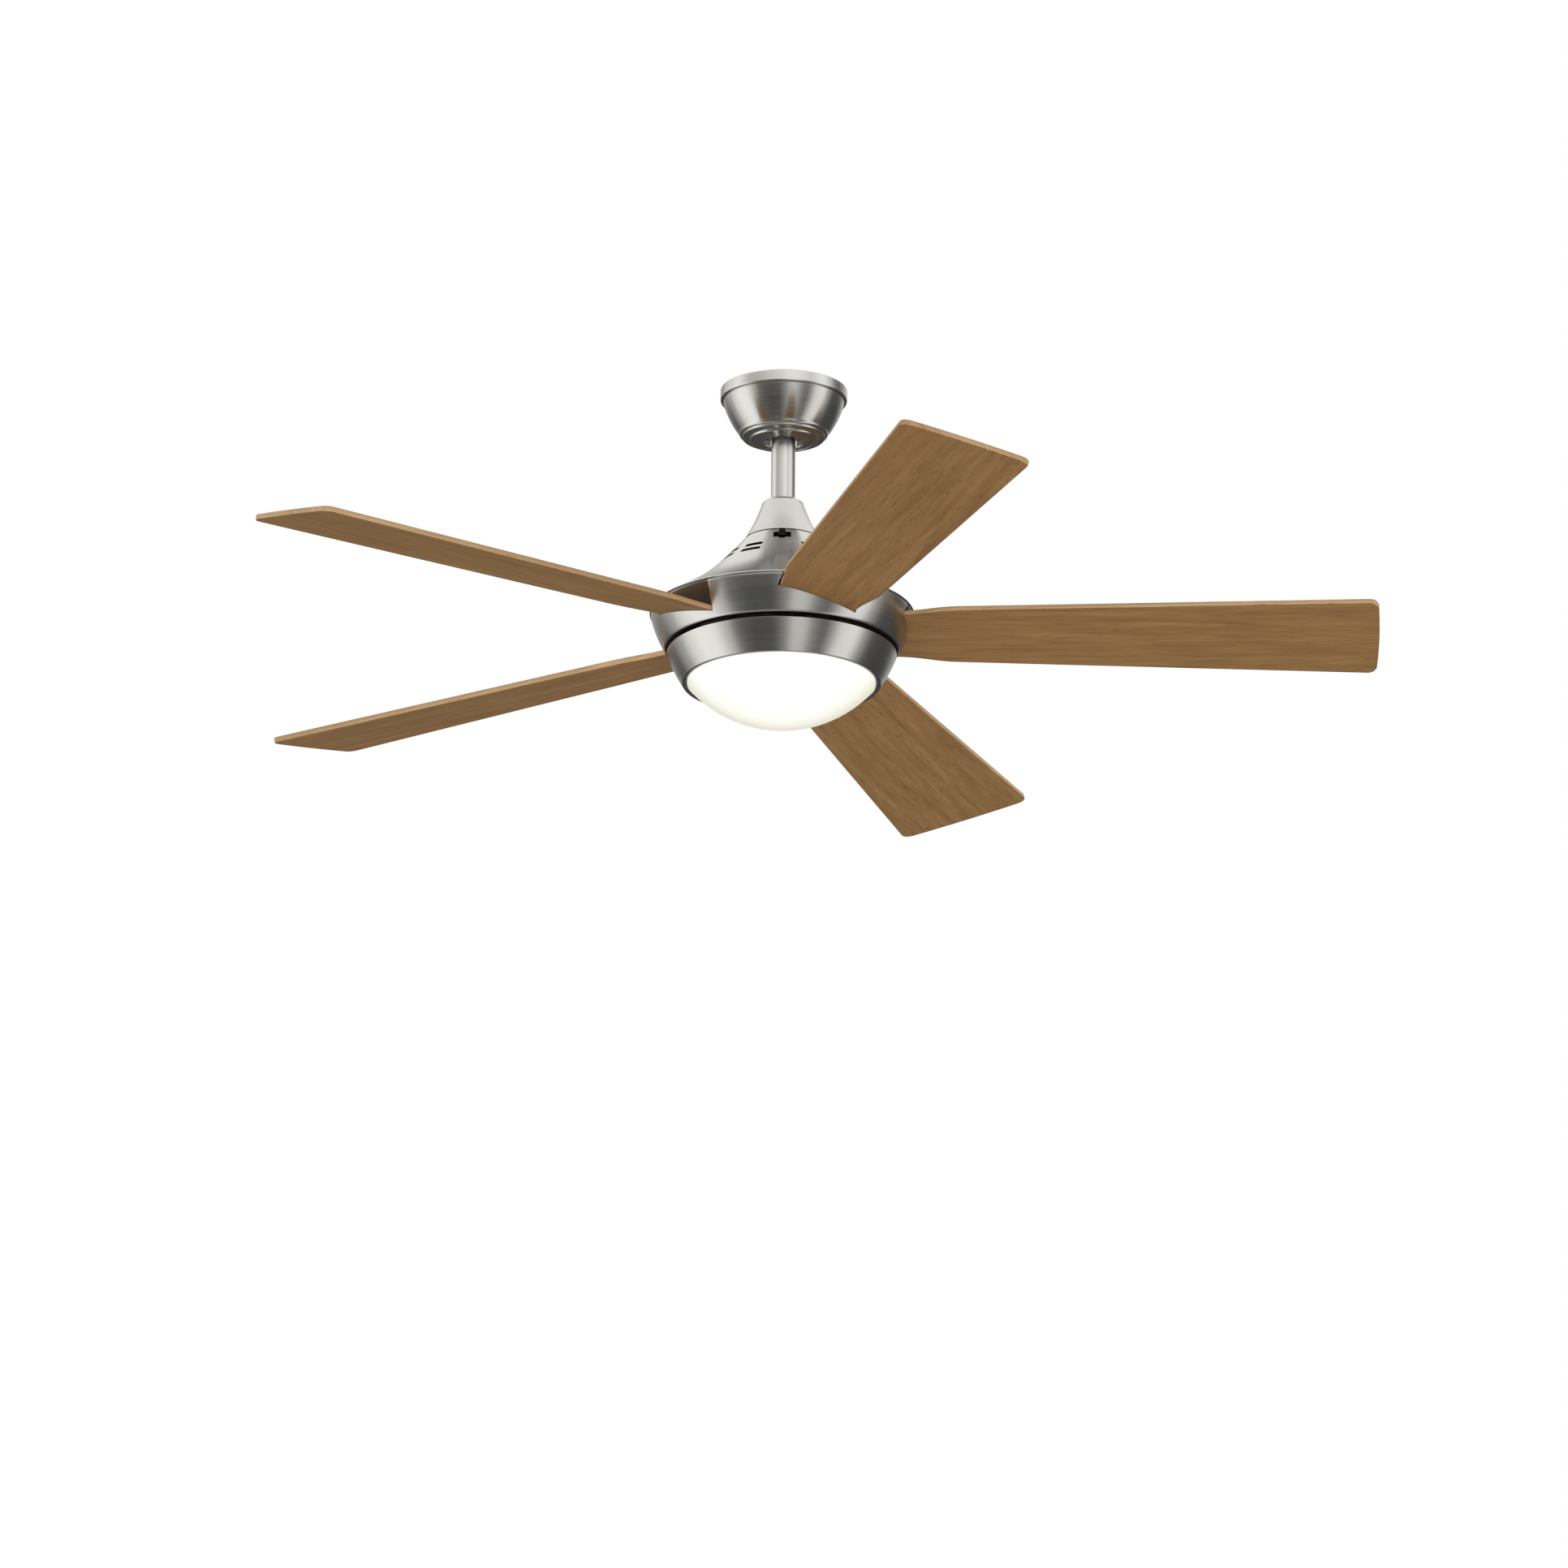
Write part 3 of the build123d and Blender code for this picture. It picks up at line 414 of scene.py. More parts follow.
def wood(name, offset, edge=False):
    """Fine straight-grained veneer under a thin satin lacquer; the grain runs along the board's U."""
    s = Shader(name)
    broad = s.noise(s.place((1.8, 26, 1), offset, "UV"), 1.0, 4.0, 0.6, 0.5)
    streaks = s.noise(s.place((9, 130, 1), offset, "UV"), 1.0, 6.0, 0.68, 0.4)
    fibres = s.noise(s.place((16, 520, 1), offset, "UV"), 1.0, 4.0, 0.7)
    pores = s.noise(s.place((42, 330, 1), (4, 9, 2), "UV"), 1.0, 3.0, 0.6)
    flame = s.add("TexWave", {"Vector": s.place((0.7, 11, 1), offset, "UV"), "Scale": 1.2, "Distortion": 7.0,
                              "Detail": 3.0, "Detail Scale": 1.1, "Detail Roughness": 0.6},
                  wave_type="BANDS", bands_direction="Y").outputs["Fac"]
    light, middle, dark = (0.395, 0.222, 0.078), (0.305, 0.160, 0.050), (0.205, 0.098, 0.026)
    if edge:
        light, middle, dark = (0.84, 0.58, 0.32), (0.70, 0.46, 0.24), (0.55, 0.34, 0.16)
    base = s.ramp(streaks, [(0.28, dark), (0.50, middle), (0.74, light)])
    base = s.mix(s.spread(broad, 0.0, 0.45, 0.40, 0.70), base, (0.275, 0.122, 0.040, 1))
    base = s.mix(s.spread(flame, 0.0, 0.18), base, (*dark, 1))
    base = s.mix(s.spread(fibres, 0.0, 0.50, 0.40, 0.75), base, (*tuple(c * 0.62 for c in middle), 1))
    base = s.mix(s.spread(pores, 0.0, 0.65, 0.60, 0.74), base, (*tuple(c * 0.42 for c in dark), 1))
    s.set(Base_Color=base,
          Roughness=s.spread(fibres, 0.42, 0.58, 0.3, 0.7),
          Normal=s.bump(fibres, 0.12, 0.0002),
          Specular_IOR_Level=0.28)
    return s.material


def opal_glass(name):
    """Opal glass lit from inside: white, warmer where it is seen at a slant, under a thin clear skin."""
    s = Shader(name)
    cloud = s.noise(s.place(), 14.0, 2.0)
    slant = s.add("LayerWeight", {"Blend": 0.5}).outputs["Facing"]
    glow = s.ramp(slant, [(0.0, (0.94, 0.94, 0.92)), (0.40, (0.90, 0.90, 0.86)), (0.66, (0.73, 0.73, 0.66)),
                          (0.80, (0.62, 0.60, 0.51)), (0.90, (0.62, 0.58, 0.47)), (1.0, (0.55, 0.51, 0.41))])
    s.set(Base_Color=(0.24, 0.24, 0.22, 1), Roughness=s.spread(cloud, 0.30, 0.38, 0.3, 0.7),
          Emission_Color=glow, Emission_Strength=s.spread(cloud, 0.97, 1.03, 0.3, 0.7),
          Specular_IOR_Level=0.1)
    return s.material


def led_yellow(name):
    s = Shader(name)
    cells = s.noise(s.place(), 900.0, 2.0)
    s.set(Base_Color=s.ramp(cells, [(0.3, (0.9, 0.62, 0.12)), (0.7, (1.0, 0.86, 0.42))]), Roughness=0.3,
          Emission_Color=(1.0, 0.85, 0.6, 1), Emission_Strength=2.0, Normal=s.bump(cells, 0.1, 0.0001))
    return s.material


NICKEL = (0.64, 0.63, 0.60)
materials = {
    "brushed_nickel": brushed_metal("brushed_nickel_finish", NICKEL, 0.20, 0.26, 0.7),
    "zinc_steel": mottled_metal("zinc_steel_finish", (0.56, 0.57, 0.58), 0.34),
    "screw_steel": mottled_metal("screw_steel_finish", (0.13, 0.13, 0.135), 0.32, 500.0, 0.05),
    "cast_aluminium": mottled_metal("cast_aluminium_finish", (0.60, 0.61, 0.62), 0.46, 420.0, 0.3),
    "lamination_steel": laminations("lamination_finish"),
    "copper_wire": wound_copper("copper_finish"),
    "magnet_ferrite": mottled_metal("ferrite_finish", (0.10, 0.10, 0.11), 0.55, 600.0, 0.2),
    "white_plastic": moulded("white_plastic_finish", (0.84, 0.84, 0.81), 0.45),
    "dark_plastic": moulded("dark_plastic_finish", (0.035, 0.035, 0.04), 0.5, bump=0.2),
    "nylon_liner": moulded("nylon_finish", (0.10, 0.098, 0.092), 0.5),
    "board_white": moulded("board_finish", (0.86, 0.87, 0.83), 0.3, 300.0),
    "led_phosphor": led_yellow("led_finish"),
    "lead_insulation": moulded("insulation_finish", (0.05, 0.05, 0.055), 0.55),
    "opal_glass": opal_glass("opal_finish"),
}
materials["walnut_blade"] = wood("blade_wood_cad", (0, 0, 0))
# The bowl's nickel takes a darker painted shade in the pocket panels above the blades
materials["bowl_nickel"] = brushed_metal("bowl_nickel_finish", NICKEL, 0.20, 0.26, 0.7, (0.28, 0.285, 0.28))
# Near-black painted shade for shell insides, the walls of their openings and the yoke
materials["inside"] = mottled_metal("painted_shade_inside", (0.07, 0.068, 0.065), 0.6, 300.0)


def dress(piece, body, slot, replaced, material=None):
    piece.data.materials.clear()
    piece.data.materials.append(material or materials[slot])
    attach(piece, body)
    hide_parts(*replaced)


def paint_shade_inside(piece, outer_curve):
    """Give the faces behind a turned outer curve a near-black painted shade instead of the brushed finish.

    On a shell with a narrow top, the walls of its cut openings get it as well."""
    piece.data.materials.append(materials["inside"])
    heights = [z for r, z in reversed(outer_curve)]
    radii = [r for r, z in reversed(outer_curve)]
    for polygon in piece.data.polygons:
        x, y, z = polygon.center / MM
        outer = float(np.interp(z, heights, radii))
        out = polygon.normal.x * x + polygon.normal.y * y
        behind = outer - math.hypot(x, y) > HIDDEN_DEPTH
        faces_in = out < 0 or abs(polygon.normal.z) > 0.9
        if behind and (faces_in or outer_curve[0][0] < NARROW_SHELL_R):
            polygon.material_index = 1


# ---------------------------------------------------------------- metal shells

def canopy():
    bowl = arc_curve((67.2, -14.2), (60.7, -31.8), (49.4, -50.6), 26)
    base = arc_curve(bowl[-1], (48.3, -52.9), (46.2, -54.0), 6)[1:]
    band = [(69.3, 0.0), (69.9, -0.5), (70.2, -1.3), (70.2, -11.8), (69.9, -12.7), (69.2, -13.0)]
    groove = [(67.0, -13.0), (66.5, -13.3), (66.5, -13.9), (66.9, -14.1)]
    curve = band + groove + bowl + base + [(38.2, -54.0)]
    inner = [(38.2, -52.8), (45.8, -52.8)] + arc_curve((47.4, -51.9), (59.4, -32.4), (65.6, -14.6), 16)
    inner += [(65.4, -11.8), (68.9, -11.8), (68.9, 0.0)]
    piece = lathe("canopy_shell", rounded([(x, y, 0.15) for x, y in curve + inner]))
    dress(piece, "ceiling_mount", "brushed_nickel", ["canopy"])


def canopy_bottom_cover():
    bead = arc_curve((45.9, -54.1), (45.6, -55.9), (43.6, -56.6), 8)
    slope = smooth_curve([(43.6, -56.6), (40.6, -57.2), (38.0, -57.9)], 8)[1:]
    roll = arc_curve((38.0, -57.9), (35.7, -60.3), (33.4, -59.3), 12)[1:]
    dish = smooth_curve([(33.4, -59.3), (30.0, -59.7), (26.0, -60.6), (22.9, -61.5)], 12)[1:]
    lip = arc_curve((22.9, -61.5), (22.1, -61.4), (22.0, -60.6), 4)[1:]
    back = [(22.6, -60.2), (27.0, -59.1), (33.2, -57.9), (37.2, -56.9), (43.6, -55.2), (44.6, -54.1)]
    piece = lathe("canopy_bottom_ring", bead + slope + roll + dish + lip + back)
    dress(piece, "ceiling_mount", "brushed_nickel", ["canopy_bottom_cover"])


def downrod():
    outline = rounded([(ROD_R, ROD_TOP_Z, 0.6), (ROD_BORE_R, ROD_TOP_Z, 0.3),
                       (ROD_BORE_R, ROD_END_Z, 0.3), (ROD_R, ROD_END_Z, 0.6)])
    piece = lathe("downrod_tube", outline, 96)
    pins = []
    for height in ROD_PIN_HEIGHTS:
        bm = bmesh.new()
        across = Matrix.Translation((0, 0, height * MM)) @ Matrix.Rotation(math.pi / 2, 4, "Y")
        bmesh.ops.create_cone(bm, cap_ends=True, segments=32, radius1=ROD_PIN_R * MM, radius2=ROD_PIN_R * MM,
                              depth=3 * ROD_R * MM, matrix=across)
        pins.append(finish_mesh("pin_cutter", bm))
    dress(cut(piece, pins), "hanging_frame", "brushed_nickel", ["downrod"])


def coupling_cover():
    side = smooth_curve([(23.6, -136.6), (31.2, -156.0), (42.0, -176.6)], 26)
    shoulder = arc_curve((18.4, -131.0), (22.0, -133.0), (23.6, -136.6), 10)[:-1]
    curve = [(14.0, -131.6), (14.3, -131.0)] + shoulder + side
    back = [(40.4, -176.6)] + [(x - 1.35, y - 0.7) for x, y in reversed(side[1:-1])]
    back += [(21.7, -136.9), (20.6, -134.0), (18.0, -132.6), (14.0, -132.6)]
    piece = lathe("coupling_cover_shell", rounded([(x, y, 0.1) for x, y in curve + back]))
    dress(piece, "cover", "brushed_nickel", ["coupling_cover"])


def blade_frame(k):
    """Matrix of blade k: an untwisted blade lies along X with its lower face on z = 0."""
    turn = Matrix.Rotation(-2 * math.pi * k / BLADE_COUNT, 4, "Z")
    lift = Matrix.Translation((0, 0, BLADE_Z * MM))
    return turn @ lift @ Matrix.Rotation(math.radians(-BLADE_PITCH), 4, "X")


BLADE_FRAMES = [blade_frame(k).inverted() for k in range(BLADE_COUNT)]


def upper_housing():
    flare = smooth_curve([(42.2, -177.2), (59.9, -197.0), (89.8, -226.3), (145.4, -262.2)], 60)
    rim = arc_curve((145.6, -262.3), (146.4, -263.2), (145.9, -264.5), 6)
    curve = [(24.0, -177.2), (41.6, -177.2)] + flare[1:] + rim
    back = [(142.4, -264.6), (142.1, -263.2), (143.0, -262.6)]
    back += [(x - 0.9, y - 1.25) for x, y in reversed(flare[2:-1])] + [(41.2, -178.7), (24.0, -178.7)]
    piece = lathe("upper_housing_shell", curve + back, FINE_SEGMENTS)
    cutters = []
    for row in VENT_ROWS_Z:
        low, high = row - VENT_HEIGHT / 2, row + VENT_HEIGHT / 2
        for azimuth in range(0, 360, VENT_STEP_DEG):
            if azimuth not in KEYWAY_DEG:
                cutters.append(arc_block("vent", *VENT_REACH, low, high, azimuth, VENT_WIDTH_DEG))
    for side in (1, -1):
        near, far = sorted(side * reach for reach in KEYWAY_REACH)
        for width, (low, high) in ((KEYWAY_SLOT_WIDTH, KEYWAY_SLOT_Z), (KEYWAY_BAR_WIDTH, KEYWAY_BAR_Z)):
            cutters.append(box_mesh("keyway", (-width / 2, near, low), (width / 2, far, high)))
    for k in range(NECK_HOLE_COUNT):
        turn = Matrix.Rotation(math.radians(30 + 360 / NECK_HOLE_COUNT * k), 4, "Z")
        cutters.append(box_mesh("hole", (NECK_HOLE_R - NECK_HOLE_HALF, -NECK_HOLE_HALF, -180.0),
                                (NECK_HOLE_R + NECK_HOLE_HALF, NECK_HOLE_HALF, -176.0), turn))
    dress(cut(piece, cutters), "hanging_frame", "brushed_nickel", ["upper_housing"])
    # Faces inside the flare and the walls of its openings get the near-black painted shade
    paint_shade_inside(piece, flare)


def above_blade(turn, radius, height):
    """1 in the part of a notch above its blade, 0 away from it, with soft sides."""
    k = round(-turn * BLADE_COUNT / (2 * math.pi))
    place = Vector((radius * math.cos(turn) * MM, radius * math.sin(turn) * MM, height * MM))
    local = BLADE_FRAMES[k % BLADE_COUNT] @ place
    y, z = local.y / MM, local.z / MM
    sides = smoothstep((y + NOTCH_LEAD) / NOTCH_SOFT_SIDE) * smoothstep((NOTCH_TRAIL - y) / NOTCH_SOFT_SIDE)
    return sides * smoothstep(z / 5.0)


def pocket_dent(turn, radius, height):
    """How far the bowl's sheet is set in above a blade: a panel that slopes in from the rim."""
    (top_r, top_z), (end_r, end_z) = POCKET_TOP, POCKET_END
    low = min(max((top_z - height) / (top_z - end_z), 0.0), 1.0)
    slope = (BOWL_FOOT[0] - BOWL_TOP[0]) / (BOWL_TOP[1] - BOWL_FOOT[1])
    outer = BOWL_TOP[0] + slope * (BOWL_TOP[1] - height) + BOWL_BULGE * math.sin(math.pi * low * 0.68)
    depth = max(0.0, outer - (top_r + (end_r - top_r) * low))
    return depth * above_blade(turn, radius, height)


def blade_bowl():
    wall = arc_curve(BOWL_TOP, (139.4, -284.2), BOWL_FOOT, 30)
    back = arc_curve((127.4, -303.0), (137.8, -283.4), (143.9, -265.0), 24)
    curve = [(144.4, -264.7), (145.2, -264.8)] + wall[1:-1]
    curve += [(129.2, -304.1), (128.7, -304.5), (122.0, -304.5), (122.0, -303.0)]
    piece = lathe("blade_bowl_shell", curve + back, BOWL_SEGMENTS, pocket_dent)
    cutters = [box_mesh("notch", (90, -NOTCH_LEAD, -0.5), (200, NOTCH_TRAIL, 6.6), blade_frame(k))
               for k in range(BLADE_COUNT)]
    dress(cut(piece, cutters), "rotor", "brushed_nickel", ["blade_bowl"], materials["bowl_nickel"])
    # Painted shade on the pocket panels above the blades: part-dark at the rim, fully dark from 10 mm below
    # it
    painted_recess_shade = piece.data.attributes.new("painted_recess_shade", "FLOAT", "POINT")
    for vertex in piece.data.vertices:
        x, y, z = vertex.co / MM
        shade = 0.7 + 0.3 * smoothstep((POCKET_SHADE_Z - z) / 10.0)
        painted_recess_shade.data[vertex.index].value = shade * above_blade(math.atan2(y, x), math.hypot(x, y), z)
    # Faces inside the bowl get the near-black painted shade
    paint_shade_inside(piece, wall)


def light_ring():
    wall = arc_curve((127.0, -310.1), (119.5, -326.6), (110.3, -343.0), 40)
    curve = [(112.0, -309.5), (126.3, -309.5), (126.8, -309.7)] + wall
    curve += [(109.9, -343.7), (109.3, -344.0), (105.5, -344.0), (105.0, -343.7), (105.0, -342.9)]
    curve += [(105.4, -342.5)]
    back = arc_curve((108.6, -342.0), (118.0, -325.6), (124.9, -311.0), 30)
    piece = lathe("light_ring_shell", curve + back + [(112.0, -311.0)], FINE_SEGMENTS)
    dress(piece, "hanging_frame", "brushed_nickel", ["light_ring"])


def glass_dome():
    radius = (GLASS_EDGE_R ** 2 + GLASS_DEPTH ** 2) / (2 * GLASS_DEPTH)
    centre = GLASS_RIM_Z - GLASS_DEPTH + radius
    reach = math.asin(GLASS_EDGE_R / radius)
    turns = [reach * k / 60 for k in range(61)]
    outside = [(radius * math.sin(turn), centre - radius * math.cos(turn)) for turn in turns]
    neck = [(103.9, -343.4), (103.8, -342.6), (103.8, -333.8), (103.2, -333.0), (101.4, -333.0)]
    neck += [(GLASS_NECK_R, -333.8)]
    inner = radius - GLASS_WALL
    inner_reach = math.asin(GLASS_NECK_R / inner)
    turns = [inner_reach * k / 40 for k in range(40, -1, -1)]
    inside = [(inner * math.sin(turn), centre - inner * math.cos(turn)) for turn in turns]
    piece = lathe("opal_dome", outside + neck + inside)
    dress(piece, "dome", "opal_glass", ["glass_dome"])


# ---------------------------------------------------------------- blades

def half_width(x):
    """Half the blade's width at a distance x from the axis, without the tip rounding."""
    half = float(np.interp(x, WIDTH_STATIONS, HALF_WIDTHS))
    neck_start, neck_end = WIDTH_STATIONS[1:3]
    if neck_start < x < neck_end:
        half += NECK_SWELL * math.sin(2 * math.pi * ((x - neck_start) / (neck_end - neck_start) - 0.5))
    return half


def blade_section(half, columns=12):
    """Closed (y, z) outline across the board: flat faces and rounded long edges."""
    flat = half - BLADE_EASE
    edge = [(math.cos(a), math.sin(a)) for a in np.linspace(-math.pi / 2, math.pi / 2, 9)]
    edge = [(c, s) for c, s in edge if abs(s) > 1e-9]
    heights = [BLADE_EASE * (1 + s) if s < 0 else BLADE_THICK - BLADE_EASE * (1 - s) for c, s in edge]
    section = [(flat * (2 * i / columns - 1), 0.0) for i in range(columns)]
    section += [(flat + BLADE_EASE * c, z) for (c, s), z in zip(edge, heights)]
    section += [(flat * (1 - 2 * i / columns), BLADE_THICK) for i in range(1, columns)]
    section += [(-flat - BLADE_EASE * c, z) for (c, s), z in zip(reversed(edge), reversed(heights))]
    return section


def blade(k):
    stations = list(np.linspace(WIDTH_STATIONS[0], 190, 24)) + list(np.linspace(196, 640, 36))
    stations += [TIP_CORNER - TIP_ROUND * (1 - math.sin(math.pi / 2 * t / 8)) for t in range(9)]
    loops = []
    for x in stations:
        past = max(0.0, x - (TIP_CORNER - TIP_ROUND))
        corner = TIP_ROUND - math.sqrt(max(TIP_ROUND ** 2 - past ** 2, 0))
        loops.append((x, blade_section(half_width(x) - corner)))
    x, section = loops[-1]
    middle, half_tip = BLADE_THICK / 2, HALF_WIDTHS[-1]
    for t in range(1, 5):
        turn = math.pi / 2 * t / 4
        pinch = BLADE_EASE * (1 - math.cos(turn))
        narrow, thin = 1 - pinch / half_tip, 1 - pinch / middle
        loops.append((x + BLADE_EASE * math.sin(turn),
                      [(y * narrow, middle + (z - middle) * thin) for y, z in section]))
    sagitta = TIP_MIDDLE - BLADE_EASE - TIP_CORNER
    bm = bmesh.new()
    rows = []
    for x, section in loops:
        bow = sagitta * max(0.0, min(1.0, (x - TIP_BOW_START) / TIP_BOW_LENGTH)) ** 2
        rows.append([bm.verts.new(((x + bow * (1 - (y / half_tip) ** 2)) * MM, y * MM, z * MM))
                     for y, z in section])
    count = len(rows[0])
    for a, b in zip(rows, rows[1:]):
        for i in range(count):
            bm.faces.new((a[i], a[(i + 1) % count], b[(i + 1) % count], b[i]))
    bm.faces.new(rows[0])
    bm.faces.new(rows[-1])
    bmesh.ops.triangulate(bm, faces=[f for f in bm.faces if len(f.verts) > 4])
    grain = bm.loops.layers.uv.new("grain")
    for face in bm.faces:
        for loop in face.loops:
            loop[grain].uv = (loop.vert.co.x, loop.vert.co.y + loop.vert.co.z)
    bm.transform(blade_frame(k))
    piece = finish_mesh(f"blade_{k + 1}_board", bm, 40)
    offset = (0.37 * k + 0.11, 1.31 * k, 0.53 * k)
    dress(piece, "rotor", "walnut_blade", [f"blade_{k + 1}"], wood(f"blade_{k + 1}_wood", offset))
    piece.data.materials.append(wood(f"blade_{k + 1}_edge", offset, edge=True))
    flat = blade_frame(k).to_3x3() @ Vector((0, 0, 1))
    for polygon in piece.data.polygons:
        if abs(polygon.normal.dot(flat)) < 0.8:
            polygon.material_index = 1


canopy()
canopy_bottom_cover()
downrod()
coupling_cover()
upper_housing()
blade_bowl()
light_ring()
glass_dome()
for index in range(BLADE_COUNT):
    blade(index)

# Every CAD node that is still shown takes the finish of its slot, except the yoke behind the keyways, which
# gets the near-black painted shade of the insides.
for entry in frame["record"]["subparts"]:
    node = frame["nodes"][entry["node"]]
    if not node.hide_render:
        finish = materials["inside" if entry["node"] == "yoke" else entry["material_slot"]]
        for i in range(len(node.data.materials)):
            node.data.materials[i] = finish


# ---------------------------------------------------------------- camera

CAMERA_DISTANCE = 22.162
CAMERA_BELOW = math.radians(19.392)
CAMERA_ROLL = math.radians(0.4725)
CAMERA_AZIMUTH = math.radians(-89.3555)
LENS = 460.8
AIM_DOWN, AIM_RIGHT = -0.1638, 0.00235

hub = Vector((0, 0, BLADE_Z * MM))
toward = Vector((math.cos(CAMERA_AZIMUTH) * math.cos(CAMERA_BELOW),
                 math.sin(CAMERA_AZIMUTH) * math.cos(CAMERA_BELOW),
                 -math.sin(CAMERA_BELOW)))
camera_data = bpy.data.cameras.new("photo_camera")
camera = bpy.data.objects.new("photo_camera", camera_data)
bpy.context.scene.collection.objects.link(camera)
camera_data.lens = LENS
camera_data.sensor_width = 36.0
camera_data.clip_start = 0.1
camera_data.clip_end = 200.0
ahead = -toward
right = ahead.cross(Vector((0, 0, 1))).normalized()
up = right.cross(ahead).normalized()
c, s = math.cos(CAMERA_ROLL), math.sin(CAMERA_ROLL)
right, up = right * c + up * s, up * c - right * s
camera_place = hub + toward * CAMERA_DISTANCE
aim = hub + up * AIM_DOWN + right * AIM_RIGHT
ahead = (aim - camera_place).normalized()
right = (right - ahead * right.dot(ahead)).normalized()
up = right.cross(ahead)
camera.matrix_world = Matrix((
    (right.x, up.x, -ahead.x, camera_place.x),
    (right.y, up.y, -ahead.y, camera_place.y),
    (right.z, up.z, -ahead.z, camera_place.z),
    (0, 0, 0, 1)))
bpy.context.scene.camera = camera


# ---------------------------------------------------------------- studio

scene = bpy.context.scene
scene.view_settings.view_transform = "Standard"

world = bpy.data.worlds.new("studio")
scene.world = world
world.use_nodes = True
tree = world.node_tree
tree.nodes.clear()


def world_node(kind, inputs=None, **settings):
    node = tree.nodes.new("ShaderNode" + kind)
    for key, value in settings.items():
        setattr(node, key, value)
    for key, value in (inputs or {}).items():
        if isinstance(value, bpy.types.NodeSocket):
            tree.links.new(value, node.inputs[key])
        else:
            node.inputs[key].default_value = value
    return node


def grey_ramp(factor, stops):
    node = world_node("ValToRGB", {"Fac": factor})
    band = node.color_ramp
    band.interpolation = "EASE"
    while len(band.elements) < len(stops):
        band.elements.new(0.5)
    for element, (place, value) in zip(band.elements, stops):
        element.position = place
        element.color = (value, value, value * 0.985, 1)
    return node.outputs["Color"]


# The nickel's bands come from what it reflects: grey bands round the fan near the horizon, an even bright
# sky higher up, and one dark stripe for the housing's flare. The bands are set to suit this
# camera's view. Diffuse light is soft, and the camera sees white.
OVERHEAD = (1.08, 1.08, 1.06, 1)
STRIPE = (0.03, 0.03, 0.028, 1)
STRIPE_SHIFT = 0.035
LIGHT_FROM_BELOW = (1.25, 1.25, 1.23, 1)
LIGHT_FROM_ABOVE = (0.22, 0.22, 0.22, 1)

# Azimuth runs 0 to 1 once round the fan: 0.5 faces the camera, lower is to its left.
direction = world_node("SeparateXYZ", {"Vector": world_node("TexCoord").outputs["Generated"]})
front = world_node("Math", {0: direction.outputs["Y"], 1: -1.0}, operation="MULTIPLY").outputs[0]
azimuth = world_node("Math", {0: direction.outputs["X"], 1: front}, operation="ARCTAN2").outputs[0]
turn_range = {"Value": azimuth, "From Min": -math.pi, "From Max": math.pi}
around = world_node("MapRange", turn_range).outputs["Result"]
height = direction.outputs["Z"]
low_bands = grey_ramp(around, [
    (0.00, 0.07), (0.111, 0.12), (0.161, 0.45), (0.20, 1.05), (0.244, 1.30), (0.289, 1.25), (0.333, 0.70),
    (0.367, 0.15), (0.417, 0.08), (0.478, 0.08), (0.511, 0.30), (0.539, 0.80), (0.567, 0.78), (0.60, 0.28),
    (0.633, 0.10), (0.656, 0.40), (0.683, 1.00), (0.733, 1.15), (0.764, 0.38), (0.794, 0.09), (0.861, 0.07),
    (1.00, 0.07)])
middle_bands = grey_ramp(around, [
    (0.00, 0.50), (0.083, 0.42), (0.167, 0.95), (0.244, 1.22), (0.328, 0.60), (0.378, 0.74), (0.433, 0.96),
    (0.489, 1.14), (0.522, 1.30), (0.60, 1.25), (0.639, 1.02), (0.717, 1.26), (0.761, 0.80), (0.80, 0.26),
    (0.833, 0.15), (0.878, 0.38), (0.917, 0.70), (1.00, 0.50)])


def world_mix(factor, a, b):
    node = world_node("Mix", data_type="RGBA")
    for socket, value in ((node.inputs[0], factor), (node.inputs[6], a), (node.inputs[7], b)):
        if isinstance(value, bpy.types.NodeSocket):
            tree.links.new(value, socket)
        else:
            socket.default_value = value
    return node.outputs[2]


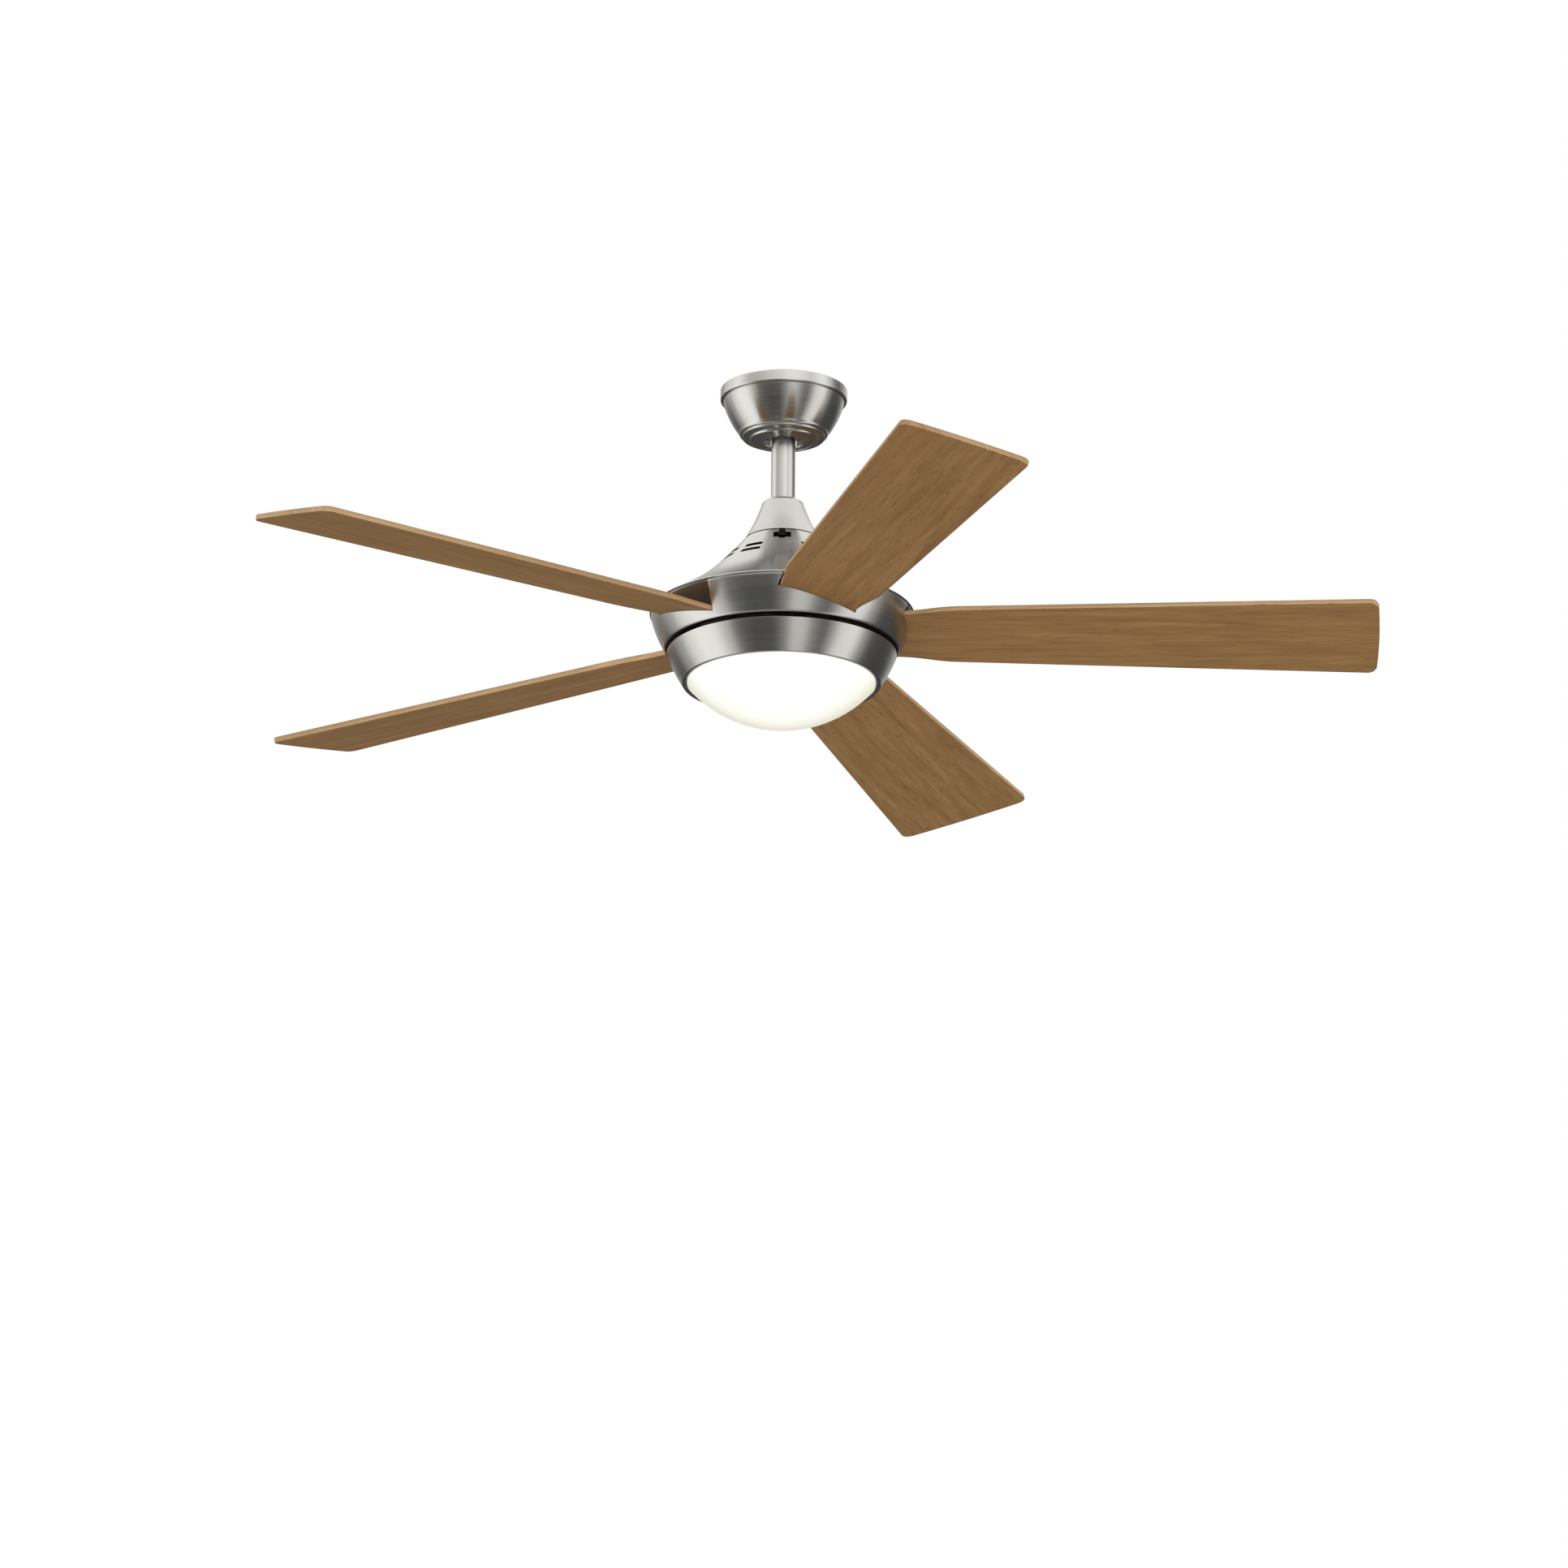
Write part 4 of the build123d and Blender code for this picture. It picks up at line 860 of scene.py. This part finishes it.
def rise(value, low, high):
    return world_node("MapRange", {"Value": value, "From Min": low, "From Max": high},
                      interpolation_type="SMOOTHSTEP").outputs["Result"]


bands = world_mix(rise(height, -0.02, 0.28), low_bands, middle_bands)
bands = world_mix(rise(height, 0.42, 0.66), bands, OVERHEAD)
shifted = world_node("Math", {0: direction.outputs["X"], 1: STRIPE_SHIFT}).outputs[0]
off_centre = world_node("Math", {0: shifted}, operation="ABSOLUTE").outputs[0]
stripe = world_node("Math", {0: rise(off_centre, 0.11, 0.04), 1: rise(direction.outputs["Y"], 0.18, 0.48)},
                    operation="MULTIPLY").outputs[0]
stripe = world_node("Math", {0: stripe, 1: rise(height, 0.40, 0.55)}, operation="MULTIPLY").outputs[0]
bands = world_mix(stripe, bands, STRIPE)
studio_light = world_node("Background", {"Color": bands, "Strength": 1.0})
soft_colour = world_mix(rise(height, -0.25, 0.25), LIGHT_FROM_BELOW, LIGHT_FROM_ABOVE)
soft_light = world_node("Background", {"Color": soft_colour, "Strength": 1.0})
backdrop = world_node("Background", {"Color": (1, 1, 1, 1), "Strength": 1.0})
ray = world_node("LightPath").outputs
lit = world_node("MixShader", {0: ray["Is Diffuse Ray"], 1: studio_light.outputs[0],
                               2: soft_light.outputs[0]})
seen = world_node("MixShader", {0: ray["Is Camera Ray"], 1: lit.outputs[0], 2: backdrop.outputs[0]})
world_node("OutputWorld", {"Surface": seen.outputs[0]})

# The floor lies far enough below that a camera under the fan stands above it.
FLOOR_R = 20.0
FLOOR_Z = -30.0
bm = bmesh.new()
bmesh.ops.create_circle(bm, cap_ends=True, segments=128, radius=FLOOR_R)
floor = finish_mesh("floor", bm)
floor.location.z = FLOOR_Z
floor_shader = Shader("floor_finish")
speckle = floor_shader.noise(floor_shader.place(), 0.9, 4.0)
floor_pale = floor_shader.ramp(speckle, [(0.3, (0.80, 0.80, 0.79)), (0.7, (0.84, 0.84, 0.83))])
floor_shader.set(Base_Color=floor_pale, Roughness=0.8)
floor.data.materials.append(floor_shader.material)
